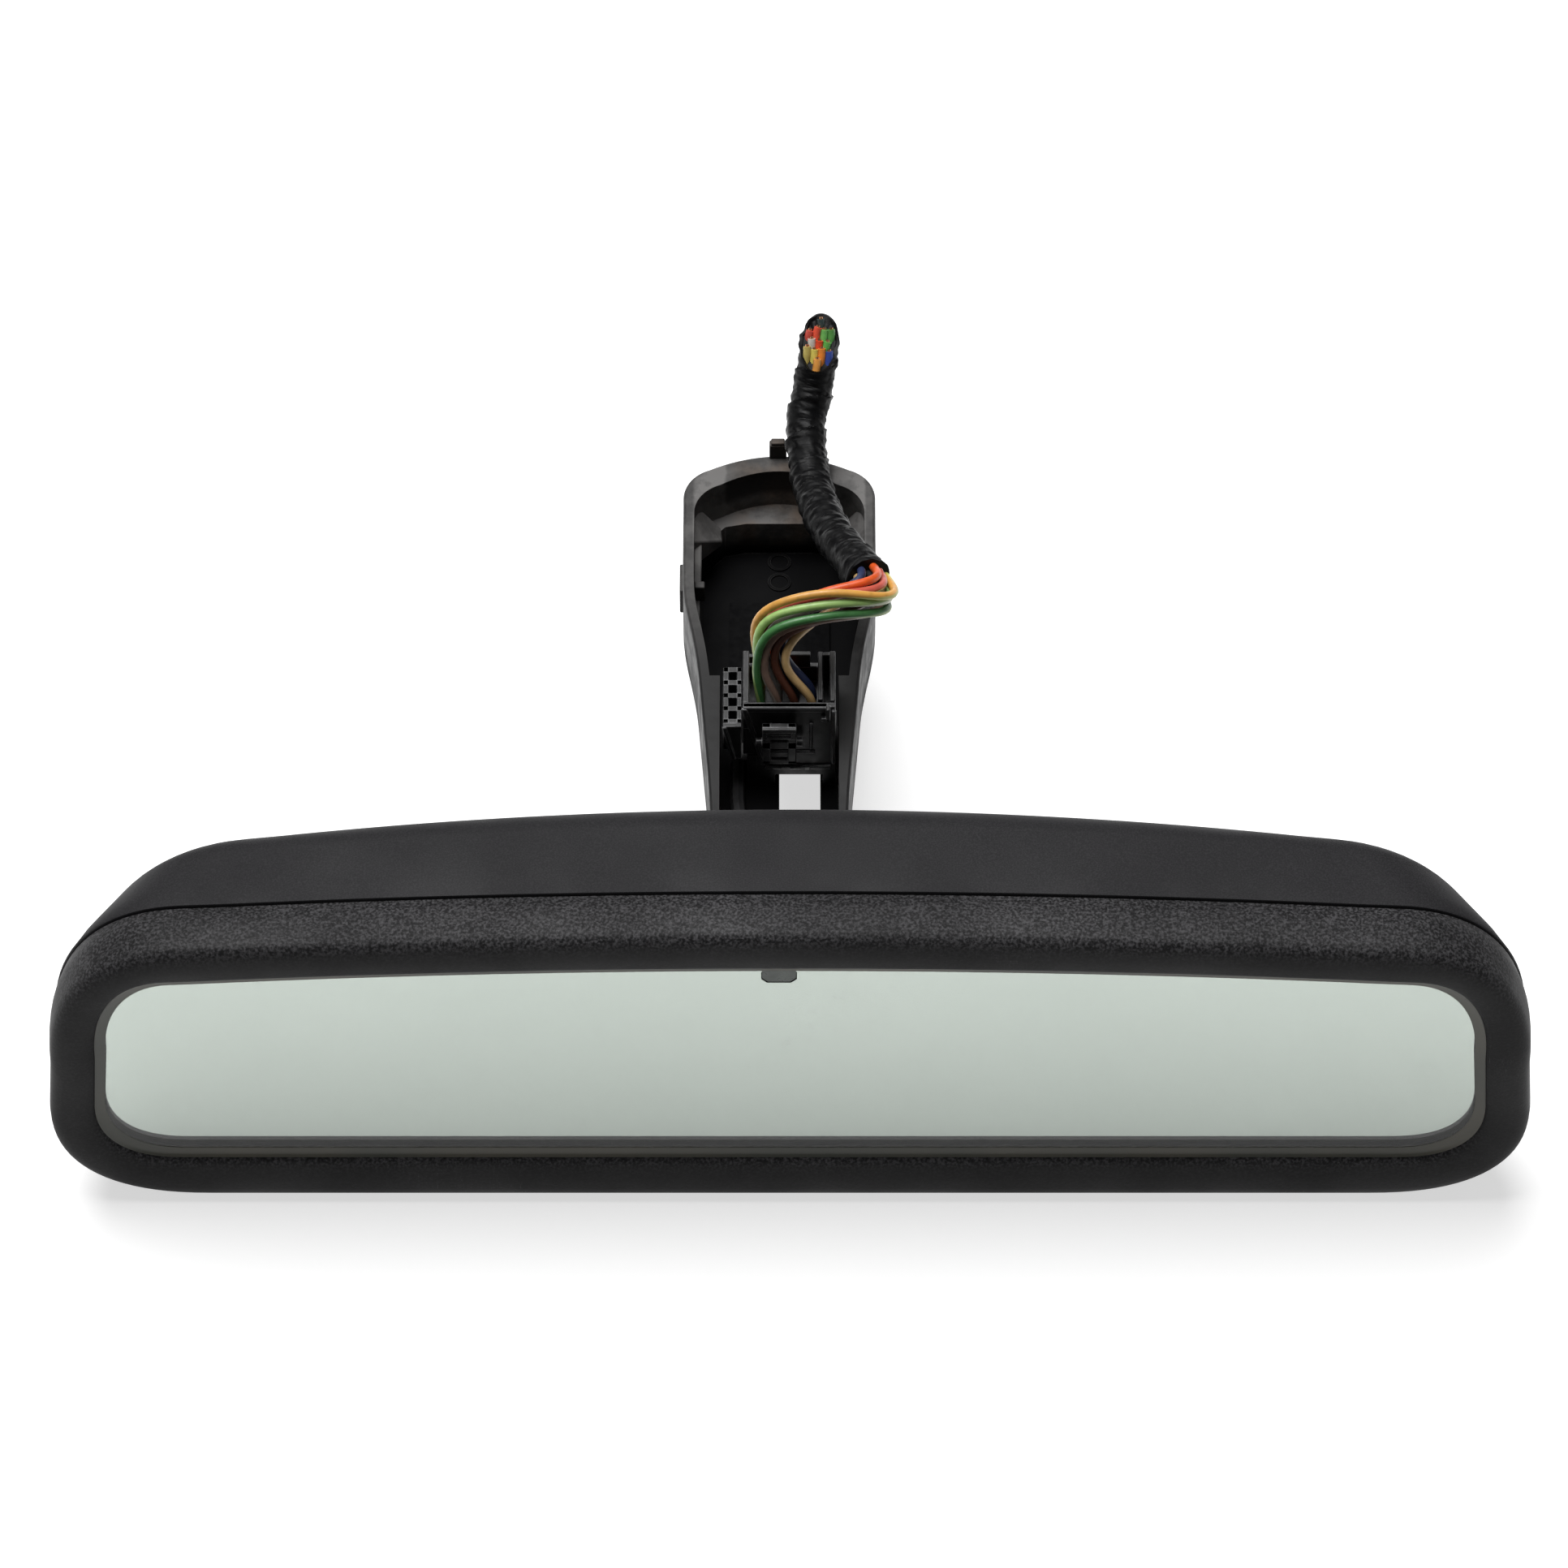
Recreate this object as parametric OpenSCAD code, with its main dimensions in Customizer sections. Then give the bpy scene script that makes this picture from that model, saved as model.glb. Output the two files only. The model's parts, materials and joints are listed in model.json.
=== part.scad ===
// Interior rear-view mirror: dimming glass head, ball joint, hollow windscreen arm and its plugged harness.
// Millimetres, +X across the glass, +Y away from the driver, +Z up, origin on the windscreen seat in the foot.

/* [Mirror head] */
// overall width of the head
head_w = 257; // [250:1:262]
// overall height of the head at its middle
head_h = 72.4; // [68:0.4:74]
// fall of the top edge from the middle to the corners
head_arch = 3.8; // [2:0.2:5]
// how far the middle of the head lies to the right of the ball
head_shift = 1.9; // [0:0.1:3]
// width of the rounded corners seen from the front
corner_w = 28; // [22:1:30]
// height of the upper corners
upper_corner_h = 34; // [28:1:36]
// height of the lower corners
lower_corner_h = 23; // [18:1:25]
// how far each side leans in from the lower corner to the upper one
side_lean = 0.8; // [0:0.2:2]
// depth of the front bezel, lip to seam
bezel_d = 11.1; // [10.9:0.1:12]
// full depth of the head at its middle
head_d = 33.9; // [33.5:0.1:34.5]
// how much shallower the head is at its corners
back_bow = 7; // [4:0.5:10]
// share of its width that the back face loses
end_taper = 0.1; // [0:0.01:0.14]

/* [Glass] */
// width of the lip beside the glass
side_lip = 8.1; // [7.5:0.1:9.5]
// height of the lip above the glass
upper_lip = 8.7; // [7.5:0.1:9]
// height of the lip below the glass
lower_lip = 11.3; // [9:0.1:12]
// thickness of each of the two glass sheets
glass_t = 1.6; // [1.4:0.1:1.7]

/* [Ball joint] */
// radius of the ball on the stud
ball_r = 7.5; // [7:0.1:7.5]
// radius of the stud's neck
neck_r = 4; // [3.5:0.25:4.25]
// radial clearance of each rolling face
ball_gap = 0.3; // [0.25:0.05:0.35]

/* [Arm and foot] */
// outside width of the foot
foot_w = 34.6; // [34:0.2:38]
// outside width of the arm at the ball stud
arm_w = 23.6; // [23.2:0.2:26]
// height of the arm and foot shell
arm_h = 20; // [20:0.5:24]
// depth of the recess above the ledge
recess_d = 9; // [8:0.5:9.5]
// width of the ledge at the end of the foot
ledge_w = 4.7; // [4:0.1:6]

/* [Plug and harness] */
// outside diameter of one wire
wire_d = 1.5; // [1.2:0.1:1.5]
// outside diameter of the taped loom
loom_d = 7.2; // [6.4:0.2:7.6]

/* [Hidden] */
$fn = 48;
eps = 0.01;
wall = 2.2;

// head: the front of the lip, the seam and the back face
lip_y = 3.2;
seam_y = lip_y + bezel_d;
back_y = lip_y + head_d;
top_z = head_h / 2;
half_w = head_w / 2;
seam_gap = 0.4;
glass_y = 5.2;
cell_seal_t = 0.4;
rear_glass_y = glass_y + glass_t + cell_seal_t;
cell_back_y = rear_glass_y + glass_t;
foam_t = 0.7;
carrier_y = cell_back_y + 1;
carrier_t = 1.6;
cell_inset = 0.8;
notch_w = 5.8;
notch_h = 4.8;
notch_z = top_z - upper_lip;
back_wall_y = back_y - wall;
board_y = 16;
board_t = 1.6;
lens_x = -70;
lens_z = 8;

// ball joint, concentric shells about one centre
ball_y = back_y - 6.1;
seat_in_r = ball_r + ball_gap;
seat_out_r = seat_in_r + 2;
ring_in_r = seat_out_r + ball_gap;
ring_out_r = ring_in_r + 1.7;
cup_in_r = ring_out_r + ball_gap;
cup_out_r = cup_in_r + 1.6;
plate_w = 46;
plate_h = 38;
plate_t = 1.8;
plate_y = ball_y - 4;
plate_screw_x = 18.5;
plate_screw_z = 14.5;

// width of the glass's corners, height of the lower and of the upper ones
glass_corner = [15, 14, 21];

// arm and foot
arm_y = 48;
arm_top = 8;
arm_base = arm_top - arm_h;
channel_half = 10.5;
channel_floor = arm_base + 6;
foot_end_y = 139.4;
foot_corner_r = 7;
foot_corner_y = foot_end_y - 2.9;
rim_w = 4;
cavity_y = 86.8;
cavity_floor = arm_base + 3;
ledge_z = arm_top - recess_d;
ledge_y = foot_end_y - rim_w - ledge_w;
seat_y = 107;
seat_w = 18;
seat_l = 22;
seat_z = cavity_floor + 0.8;
window_x0 = 0;
window_x1 = 7.3;
window_y0 = 54;
window_y1 = 81;
rail_y0 = 109;
rail_y1 = 126;
mark_r = 2;
tab_x = -1.8;
tab_w = 3.1;
tab_h = 4;

// plug in its header, drawn about x = 1.2 and y = 80 and then moved by plug_shift
plug_shift = [0.5, -0.8, 0];
plug_x0 = -6.9;
plug_x1 = 9.4;
plug_y0 = 74;
plug_y1 = 86;
plug_z0 = 2.4;
plug_z1 = 16.6;
entry_z = 10;
nose_x0 = -4.7;
nose_x1 = 7.9;
nose_y0 = 75.4;
nose_y1 = 84.2;
nose_z0 = -1.5;
header_z0 = -3;
header_gap = 0.3;
header_wall = 1.2;
pin_r = 0.5;
spigot = 1.4;
lead_r = 1.3;
lead_x = -3.6;
lead_z = -1.8;
latch_x = -0.5;
latch_z = 8.6;
latch_y = 71.6;
latch_pin_r = 0.8;
slider_x0 = -10.4;
slider_x1 = plug_x0 - 0.2;
slider_y0 = 72.6;
slider_top = 12.6;

// wires: middle of the bundle at each station, and the two directions that its rows and columns lie along
wire_r = wire_d / 2;
wire_count = 11;
bundle = [[1.3, 79.2, 10], [-1.6, 80.6, 19], [-0.8, 82.6, 25.6], [7, 85, 28.6], [17.2, 89.4, 27.6],
    [15.8, 96.4, 24.2]];
bundle_u = [[3, 0, 0], [1.8, 0, 0.3], [1.5, 0, -1.4], [0, 0, -2.5], [0, -0.6, -2.1], [0, -0.8, -1.5]];
bundle_v = [[0, 2.6, 0], [0, 1.9, -0.3], [-0.4, 1.8, 0], [-0.6, 1.8, 0], [-1.6, 1.6, 0], [-1.6, -0.2, 0.1]];
bundle_turn = [0, 0, 12, 50, 100, 130];
loom = [[15.6, 95.2, 24.4], [13, 101.5, 22.5], [9.6, 110.3, 19], [7.5, 118, 16.6], [5.9, 126, 14.9],
    [5, 132.7, 15.5], [4.9, 138.8, 17.5], [6, 143.8, 20.6], [6.9, 147.6, 25], [7.7, 152, 31]];
wire_colours = [[0.20, 0.45, 0.22], [0.45, 0.36, 0.32], [0.30, 0.16, 0.12], [0.76, 0.62, 0.42],
    [0.55, 0.72, 0.38], [0.72, 0.70, 0.68], [0.12, 0.12, 0.14], [0.20, 0.26, 0.45], [0.80, 0.55, 0.18],
    [0.78, 0.28, 0.26], [0.86, 0.34, 0.12]];

charcoal = [0.16, 0.16, 0.17];
black = [0.07, 0.07, 0.08];
steel = [0.70, 0.71, 0.73];
copper = [0.72, 0.45, 0.25];

origin = [0, seat_y, seat_z];

// ---- shared shapes ----

function unit(v) = v / norm(v);

// width of a corner of the head pulled in by lip fraction t, and half the length of its straight edge
function corner(t, shrink = 0) = max(8, corner_w + t * (glass_corner[0] - corner_w) - shrink * 0.5);
function edge_half(t, shrink = 0) = half_w - t * side_lip - shrink - corner(t, shrink);

// a quarter turn of a rounded corner, fuller than an ellipse
function fuller(c) = pow(max(0, c), 0.83);

// outline of the head in X and Z, pulled in by lip fraction t
function head_outline(t, shrink = 0) = let(
        zt = top_z - t * upper_lip - shrink,
        zb = -top_z + t * lower_lip + shrink,
        a = corner(t, shrink),
        flat = edge_half(t, shrink),
        side_h = zt - head_arch - zb,
        b_low = min(side_h * 0.4,
            lower_corner_h + t * (glass_corner[1] - lower_corner_h) - shrink * 0.5),
        b_up = min(side_h * 0.55,
            upper_corner_h + t * (glass_corner[2] - upper_corner_h) - shrink * 0.5),
        steps = 16,
        bend = 8,
        low = [for (i = [0:bend]) let(q = 90 * i / bend)
            [flat + a * fuller(sin(q)), zb + b_low - b_low * fuller(cos(q))]],
        up = [for (i = [0:bend]) let(q = 86 * i / bend)
            [flat + (a - side_lean) * fuller(cos(q)), zt - head_arch - b_up + b_up * fuller(sin(q))]],
        top = [for (i = [1:steps - 1]) let(x = flat - 2 * flat * i / steps)
            [x, zt - head_arch * pow(x / flat, 2)]],
        centred = concat(
            [for (i = [0:steps - 1]) [-flat + 2 * flat * i / steps, zb]],
            low, up, top,
            [for (i = [bend:-1:0]) [-up[i][0], up[i][1]]],
            [for (i = [bend:-1:1]) [-low[i][0], low[i][1]]]))
    [for (p = centred) [p[0] + head_shift, p[1]]];

function head_ring(t, y, shrink = 0) = [for (p = head_outline(t, shrink)) [p[0], y, p[1]]];

// depth of the bowed back face
function back_at(x) = back_y - back_bow * pow((x - head_shift) / half_w, 2);

// the same outline on the bowed back: back = 0 at the seam, 1 on the narrower back face
function back_ring(shrink, back, thick = 0) = let(
        y0 = seam_y + seam_gap,
        narrow = 1 - end_taper * pow(max(0, back), 1.3))
    [for (p = head_outline(0.08, shrink)) let(x = head_shift + (p[0] - head_shift) * narrow)
        [x, y0 + (back_at(x) - thick - y0) * back, p[1]]];

// a closed skin through rings of equal length that turn by the right hand about the way they are stacked;
// loop joins the last ring to the first, fan closes each end with triangles about the ring's middle, and
// otherwise each end is closed with upright strips between the lower and upper halves of the ring
module skin(rings, loop = false, fan = false) {
    n = len(rings[0]);
    m = len(rings);
    last = loop ? m - 1 : m - 2;
    middles = fan ? [middle(rings[0]), middle(rings[m - 1])] : [];
    sides = [for (j = [0:last], i = [0:n - 1])
        [j * n + i, j * n + (i + 1) % n, ((j + 1) % m) * n + (i + 1) % n, ((j + 1) % m) * n + i]];
    tris = [for (q = sides) each [[q[0], q[2], q[1]], [q[0], q[3], q[2]]]];
    fans = [for (i = [0:n - 1]) each [[i, (i + 1) % n, m * n],
        [(m - 1) * n + (i + 1) % n, (m - 1) * n + i, m * n + 1]]];
    half = floor(n / 2);
    strips = [for (i = [0:half - 2])
        let(a = (n - 8 + i) % n, b = (n - 7 + i) % n, c = n - 9 - i, d = n - 10 - i, e = (m - 1) * n)
        each [[a, b, d], [a, d, c], [e + b, e + a, e + d], [e + d, e + a, e + c]]];
    caps = loop ? [] : fan ? fans : strips;
    polyhedron(concat([for (r = rings) each r], middles), concat(tris, caps), convexity = 8);
}

function middle(ring) = [for (axis = [0:2])
    (max([for (p = ring) p[axis]]) + min([for (p = ring) p[axis]])) / 2];

// a slab that follows the head's outline
module head_slab(t, y0, thick) {
    translate([0, y0 + thick, 0])
        rotate([90, 0, 0])
            linear_extrude(thick)
                polygon(head_outline(t));
}

module rod_y(r, y0, y1) {
    translate([0, y0, 0])
        rotate([-90, 0, 0])
            cylinder(r = r, h = y1 - y0);
}

module box(x0, x1, y0, y1, z0, z1) {
    translate([x0, y0, z0])
        cube([x1 - x0, y1 - y0, z1 - z0]);
}

module at(x, z) {
    translate([x, 0, z])
        children();
}

module at_plate_screws() {
    for (x = [-plate_screw_x, plate_screw_x], z = [-plate_screw_z, plate_screw_z])
        at(x, z) children();
}

module at_board_screws() {
    for (x = [36, 88], z = [-14, 14])
        at(x, z) children();
}

// round shell about the ball's centre, cut flat at the back and at the mouth on the arm's side
module ball_shell(r_in, r_out, back, mouth) {
    hole_r = neck_r + 1;
    translate([0, ball_y, 0])
        rotate([-90, 0, 0])
            rotate_extrude($fn = 64)
                difference() {
                    circle(r = r_out);
                    circle(r = r_in);
                    translate([-r_out - 1, -r_out - 1]) square([r_out + 1 + hole_r, 2 * r_out + 2]);
                    translate([0, mouth]) square(r_out + 1);
                    translate([0, -back - r_out]) square([r_out + 1, r_out]);
                }
}

// frames carried along a path, so that a tube doesn't twist
function tangent(path, i) = unit(path[min(i + 1, len(path) - 1)] - path[max(i - 1, 0)]);
function across(path, i) = let(
        t = tangent(path, i),
        n = i == 0 ? [0.3, 1, 0.2] : across(path, i - 1))
    unit(n - (n * t) * t);
function tube_ring(path, i, r, sides, flat_start) = let(
        t = flat_start && i == 0 ? [0, 0, 1] : tangent(path, i),
        a0 = across(path, i),
        a = unit(a0 - (a0 * t) * t),
        b = cross(t, a))
    [for (k = [0:sides - 1]) path[i] + r * (a * cos(360 * k / sides) + b * sin(360 * k / sides))];

module tube(path, r, sides = 8, flat_start = false) {
    skin([for (i = [0:len(path) - 1]) tube_ring(path, i, r, sides, flat_start)], fan = true);
}

// ---- mirror head ----

module bezel() {
    profile = [[0.08, seam_y], [0, seam_y - 3.3], [0, lip_y + 4.3], [0.05, lip_y + 1.7], [0.22, lip_y + 0.4],
        [0.5, lip_y], [0.82, lip_y + 0.2], [0.96, lip_y + 0.8], [1, lip_y + 1.4], [1, glass_y - 0.1],
        [0.7, glass_y - 0.1], [0.7, carrier_y - 0.1], [0.26, carrier_y - 0.1], [0.26, seam_y]];
    color(charcoal)
        skin([for (p = profile) head_ring(p[0], p[1])], loop = true);
}

module rear_housing() {
    outer = [[9, 1], [5.4, 0.975], [2.6, 0.9], [0.9, 0.78], [0.2, 0.55], [0, 0]];
    inner = [[11, 1], [7.6, 0.96], [4.8, 0.88], [3.2, 0.72], [2.4, -0.01]];
    color(charcoal) {
        difference() {
            skin([for (p = outer) back_ring(p[0], p[1])]);
            skin([for (p = inner) back_ring(p[0], p[1], wall)]);
            rod_y(cup_out_r + 1, back_wall_y - 4, back_y + 1);
            at(lens_x, lens_z) rod_y(3.4, back_wall_y - 8, back_y + 1);
        }
        at_plate_screws()
            screw_boss(plate_y + plate_t, back_wall_y);
    }
}

module screw_boss(y0, y1) {
    difference() {
        rod_y(3, y0, y1);
        rod_y(1.25, y0 - 1, y1 - 1);
    }
}

// notch in the glass, and the sensor's window that fills it
module sensor_notch(y0, y1, spare = 0, over = 4) {
    half = notch_w / 2 + spare;
    foot = notch_z - notch_h - spare;
    translate([0, y1, 0])
        rotate([90, 0, 0])
            linear_extrude(y1 - y0)
                polygon([[-half, notch_z + over], [-half, foot + 1], [-half + 1, foot], [half - 1, foot],
                    [half, foot + 1], [half, notch_z + over]]);
}

module front_glass() {
    color([0.75, 0.82, 0.76, 0.6])
        difference() {
            head_slab(cell_inset, glass_y, glass_t);
            sensor_notch(glass_y - 1, glass_y + glass_t + 1, 0.15);
        }
}

module cell_seal() {
    color(black)
        difference() {
            head_slab(cell_inset + 0.03, glass_y + glass_t, cell_seal_t);
            head_slab(cell_inset + 0.25, glass_y + glass_t - 1, cell_seal_t + 2);
            sensor_notch(glass_y, cell_back_y, 0.15);
        }
}

module rear_glass() {
    color([0.72, 0.78, 0.74])
        difference() {
            head_slab(cell_inset, rear_glass_y, glass_t);
            sensor_notch(rear_glass_y - 1, cell_back_y + 1, 0.15);
        }
}

// strip that grips the cell's edge; side = 1 above, -1 below
function cell_edge(x, side, out) = side > 0
    ? top_z - cell_inset * upper_lip - head_arch * pow((x - head_shift) / edge_half(cell_inset), 2) + out
    : -top_z + cell_inset * lower_lip - out;

module bus_clip(side, x0, x1) {
    steps = 12;
    xs = [for (i = [0:steps]) x0 + (x1 - x0) * i / steps];
    rows = [[0.15, 0.5, glass_y + 0.3, cell_back_y + 0.35], [-3, 0.5, cell_back_y + 0.05, cell_back_y + 0.35]];
    color(copper)
        for (row = rows)
            translate([0, row[3], 0])
                rotate([90, 0, 0])
                    linear_extrude(row[3] - row[2])
                        polygon(concat([for (x = xs) [x, cell_edge(x, side, row[0])]],
                            [for (i = [steps:-1:0]) [xs[i], cell_edge(xs[i], side, row[1])]]));
}

module upper_bus_clip() {
    bus_clip(1, 8, 92);
}

module lower_bus_clip() {
    bus_clip(-1, -92, 92);
}

module foam_pad() {
    color([0.25, 0.25, 0.27])
        difference() {
            head_slab(cell_inset + 0.5, cell_back_y, foam_t);
            sensor_notch(cell_back_y - 1, cell_back_y + 2, 3);
        }
}

module carrier_plate() {
    color(black) {
        difference() {
            head_slab(0.3, carrier_y, carrier_t);
            sensor_notch(carrier_y - 1, carrier_y + 4, 0.3);
            rod_y(12, carrier_y - 1, carrier_y + 4);
        }
        at_board_screws()
            difference() {
                rod_y(2.6, carrier_y + carrier_t, board_y);
                rod_y(1, carrier_y + carrier_t + 0.5, board_y + 1);
            }
    }
}

module circuit_board() {
    color([0.10, 0.35, 0.20])
        difference() {
            box(31, 93, board_y, board_y + board_t, -19, 19);
            at_board_screws() rod_y(1.3, board_y - 1, board_y + 3);
        }
}

module board_chips() {
    chips = [[44, 2, 9, 9, 1.8], [58, 8, 6, 5, 1.2], [60, -8, 7, 7, 2.4], [72, 1, 5, 8, 1.6],
        [48, -12, 4, 4, 2]];
    color(black)
        for (c = chips)
            box(c[0] - c[2] / 2, c[0] + c[2] / 2, board_y + board_t, board_y + board_t + c[4],
                c[1] - c[3] / 2, c[1] + c[3] / 2);
}

module board_connector() {
    color([0.85, 0.83, 0.75])
        difference() {
            box(78, 86, board_y + board_t, board_y + board_t + 6, -7, 7);
            box(79, 85, board_y + board_t + 1, board_y + board_t + 7, -6, 6);
        }
}

module pan_screw(y_face, length, r) {
    difference() {
        union() {
            rod_y(r * 2, y_face - 1.5, y_face);
            rod_y(r, y_face - eps, y_face + length);
        }
        translate([0, y_face - 1.9, 0])
            rotate([-90, 0, 0])
                cylinder(r = r * 0.9, h = 1.2, $fn = 6);
    }
}

module back_pan_screw(y_face, length, r) {
    translate([0, 2 * y_face, 0])
        mirror([0, 1, 0])
            pan_screw(y_face, length, r);
}

module board_screws() {
    color(steel)
        at_board_screws()
            back_pan_screw(board_y + board_t, 4, 0.95);
}

module glare_sensor() {
    color([0.10, 0.13, 0.11]) {
        sensor_notch(glass_y + 0.1, carrier_y + carrier_t + 0.3, over = 0.9);
        box(-3.5, 3.5, carrier_y + carrier_t + 0.3, carrier_y + carrier_t + 2.5, notch_z - 8, notch_z - 1);
    }
}

module ambient_sensor() {
    color([0.75, 0.75, 0.70])
        at(lens_x, lens_z) {
            rod_y(2.5, carrier_y + carrier_t, carrier_y + carrier_t + 3);
            rod_y(1.6, carrier_y + carrier_t + 3 - eps, carrier_y + carrier_t + 5);
        }
}

module ambient_lens() {
    lens_y = back_at(lens_x);
    color([0.30, 0.30, 0.32, 0.7])
        at(lens_x, lens_z) {
            rod_y(3.1, lens_y - 3.6, lens_y + 0.2);
            rod_y(4.6, lens_y - 4.8, lens_y - 3.6 + eps);
            rod_y(2, carrier_y + carrier_t + 5.4, lens_y - 4.8 + eps);
        }
}

module socket_plate() {
    color(steel) {
        ball_shell(cup_in_r, cup_out_r, cup_out_r, 5.5);
        difference() {
            translate([0, plate_y + plate_t, 0])
                rotate([90, 0, 0])
                    linear_extrude(plate_t)
                        polygon([[-plate_w / 2, -plate_h / 2 + 5], [-plate_w / 2 + 5, -plate_h / 2],
                            [plate_w / 2 - 5, -plate_h / 2], [plate_w / 2, -plate_h / 2 + 5],
                            [plate_w / 2, plate_h / 2 - 5], [plate_w / 2 - 5, plate_h / 2],
                            [-plate_w / 2 + 5, plate_h / 2], [-plate_w / 2, plate_h / 2 - 5]]);
            translate([0, ball_y, 0]) sphere(r = cup_in_r + 0.8, $fn = 64);
            at_plate_screws() rod_y(1.6, plate_y - 1, plate_y + 3);
        }
    }
}

module socket_screws() {
    color(steel)
        at_plate_screws()
            pan_screw(plate_y, 6, 1.2);
}

// ---- ball joint ----

module ball_seat() {
    color([0.85, 0.84, 0.80])
        ball_shell(seat_in_r, seat_out_r, seat_out_r - 0.8, 3);
}

module preload_ring() {
    color([0.45, 0.46, 0.48])
        ball_shell(ring_in_r, ring_out_r, ring_out_r - 1, 4);
}

module ball_stud() {
    color(steel)
        difference() {
            union() {
                translate([0, ball_y, 0]) sphere(r = ball_r, $fn = 64);
                rod_y(neck_r, ball_y, arm_y + spigot);
                box(-9.5, 9.5, arm_y - 2.5, arm_y, -6, 6);
            }
            rod_y(1.9, ball_y - ball_r - 1, arm_y + 6);
            for (x = [-7, 7])
                at(x, 0) rod_y(1.3, arm_y - 4, arm_y + 1);
        }
}

module stud_screws() {
    color(steel)
        for (x = [-7, 7])
            at(x, 0)
                pan_screw(arm_y - 2.5, 7, 1.1);
}

// ---- arm and foot ----

function arm_half(y, inset) = lookup(y, [[48, arm_w / 2], [64, arm_w / 2 + 0.8], [82, arm_w / 2 + 2.2],
    [90, arm_w / 2 + 2.8], [98, foot_w / 2 - 1.5], [104, foot_w / 2 - 0.3], [108, foot_w / 2]]) - inset;

// plan outline of the arm and foot from y0 to the arched end, which lies end further in than the sides
function foot_plan(y0, inset, end) = let(
        r = foot_corner_r,
        x_corner = foot_w / 2 - inset - r,
        y_corner = foot_corner_y - inset - end - r,
        y_end = foot_end_y - inset - end,
        stations = concat([y0], [for (y = [48, 64, 73, 82, 90, 94, 98, 104, 108, 120]) if (y > y0 + 0.5) y]))
    concat(
        [for (y = stations) [arm_half(y, inset), y]],
        [for (i = [0:6]) [x_corner + r * cos(70 * i / 6), y_corner + r * sin(70 * i / 6)]],
        [for (i = [1:7]) let(x = x_corner * (1 - i / 4)) [x, y_end - 3.8 * pow(x / (x_corner + 2.4), 2)]],
        [for (i = [6:-1:0]) [-x_corner - r * cos(70 * i / 6), y_corner + r * sin(70 * i / 6)]],
        [for (i = [len(stations) - 1:-1:0]) [-arm_half(stations[i], inset), stations[i]]]);

function foot_ring(y0, inset, z, end = 0) = [for (p = foot_plan(y0, inset, end)) [p[0], p[1], z]];

module foot_shell() {
    color(black) {
        difference() {
            skin([foot_ring(arm_y, 4, arm_base), foot_ring(arm_y, 1.4, arm_base + 1.2),
                foot_ring(arm_y, 0.3, arm_base + 3.5), foot_ring(arm_y, 0, arm_top - 0.8),
                foot_ring(arm_y, 0.6, arm_top)], fan = true);
            skin([foot_ring(cavity_y, 2, ledge_z, rim_w - 2), foot_ring(cavity_y, 2, arm_top + 1, rim_w - 2)],
                fan = true);
            deep_cavity();
            box(-channel_half, channel_half, window_y0, cavity_y + 2, channel_floor, arm_top + 1);
            box(window_x0, window_x1, window_y0, window_y1, arm_base - 1, channel_floor + 1);
            rod_y(neck_r + 0.1, arm_y - 1, arm_y + 5.2);
            at(lead_x, lead_z) rod_y(2 * lead_r, arm_y + 3.8, window_y0 + 1);
            for (x = [-7, 7])
                at(x, 0) rod_y(1.15, arm_y - 1, arm_y + 5);
            at_seat_screws()
                cylinder(r = 0.9, h = 5, center = true);
        }
        for (side = [-1, 1])
            rail(side);
        box(tab_x, tab_x + tab_w, foot_end_y - 1, foot_end_y + 0.6, arm_base + 6, arm_top + tab_h);
        for (y = [ledge_y - 7.2, ledge_y - 2.4])
            translate([0, y, cavity_floor - eps])
                difference() {
                    cylinder(r = mark_r, h = 0.3);
                    translate([0, 0, -1]) cylinder(r = mark_r - 0.5, h = 2);
                }
    }
}

module at_seat_screws() {
    for (y = [seat_y - 7, seat_y + 7])
        translate([0, y, cavity_floor])
            children();
}

module seat_plate() {
    color(black)
        difference() {
            box(-seat_w / 2, seat_w / 2, seat_y - seat_l / 2, seat_y + seat_l / 2, cavity_floor, seat_z);
            at_seat_screws() {
                cylinder(r = 1.1, h = 5, center = true);
                cylinder(r1 = 1.1, r2 = 2.1, h = seat_z - cavity_floor + eps);
            }
        }
}

module seat_screws() {
    sheet = seat_z - cavity_floor;
    color(steel)
        at_seat_screws()
            difference() {
                union() {
                    cylinder(r1 = 1, r2 = 2, h = sheet - 0.05);
                    translate([0, 0, -2]) cylinder(r = 0.85, h = 2 + eps);
                }
                translate([0, 0, sheet - 0.5]) cylinder(r = 0.8, h = 1, $fn = 6);
            }
}

module deep_cavity() {
    w = foot_w / 2 - 3;
    translate([0, 0, cavity_floor])
        linear_extrude(arm_top - cavity_floor - recess_d + 0.5)
            polygon([[-channel_half - 1, cavity_y], [channel_half + 1, cavity_y], [w - 1.5, cavity_y + 8],
                [w, cavity_y + 14], [w, ledge_y - 6], [w - 4.5, ledge_y - 0.8], [6, ledge_y], [-6, ledge_y],
                [-w + 4.5, ledge_y - 0.8], [-w, ledge_y - 6], [-w, cavity_y + 14], [-w + 1.5, cavity_y + 8]]);
}

module rail(side) {
    x_wall = foot_w / 2 - 1.9;
    x0 = side > 0 ? x_wall - 1.3 : -x_wall;
    box(x0, x0 + 1.3, rail_y0, rail_y1, ledge_z + 1.5, ledge_z + 3.5);
}

// ---- header in the arm ----

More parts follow.
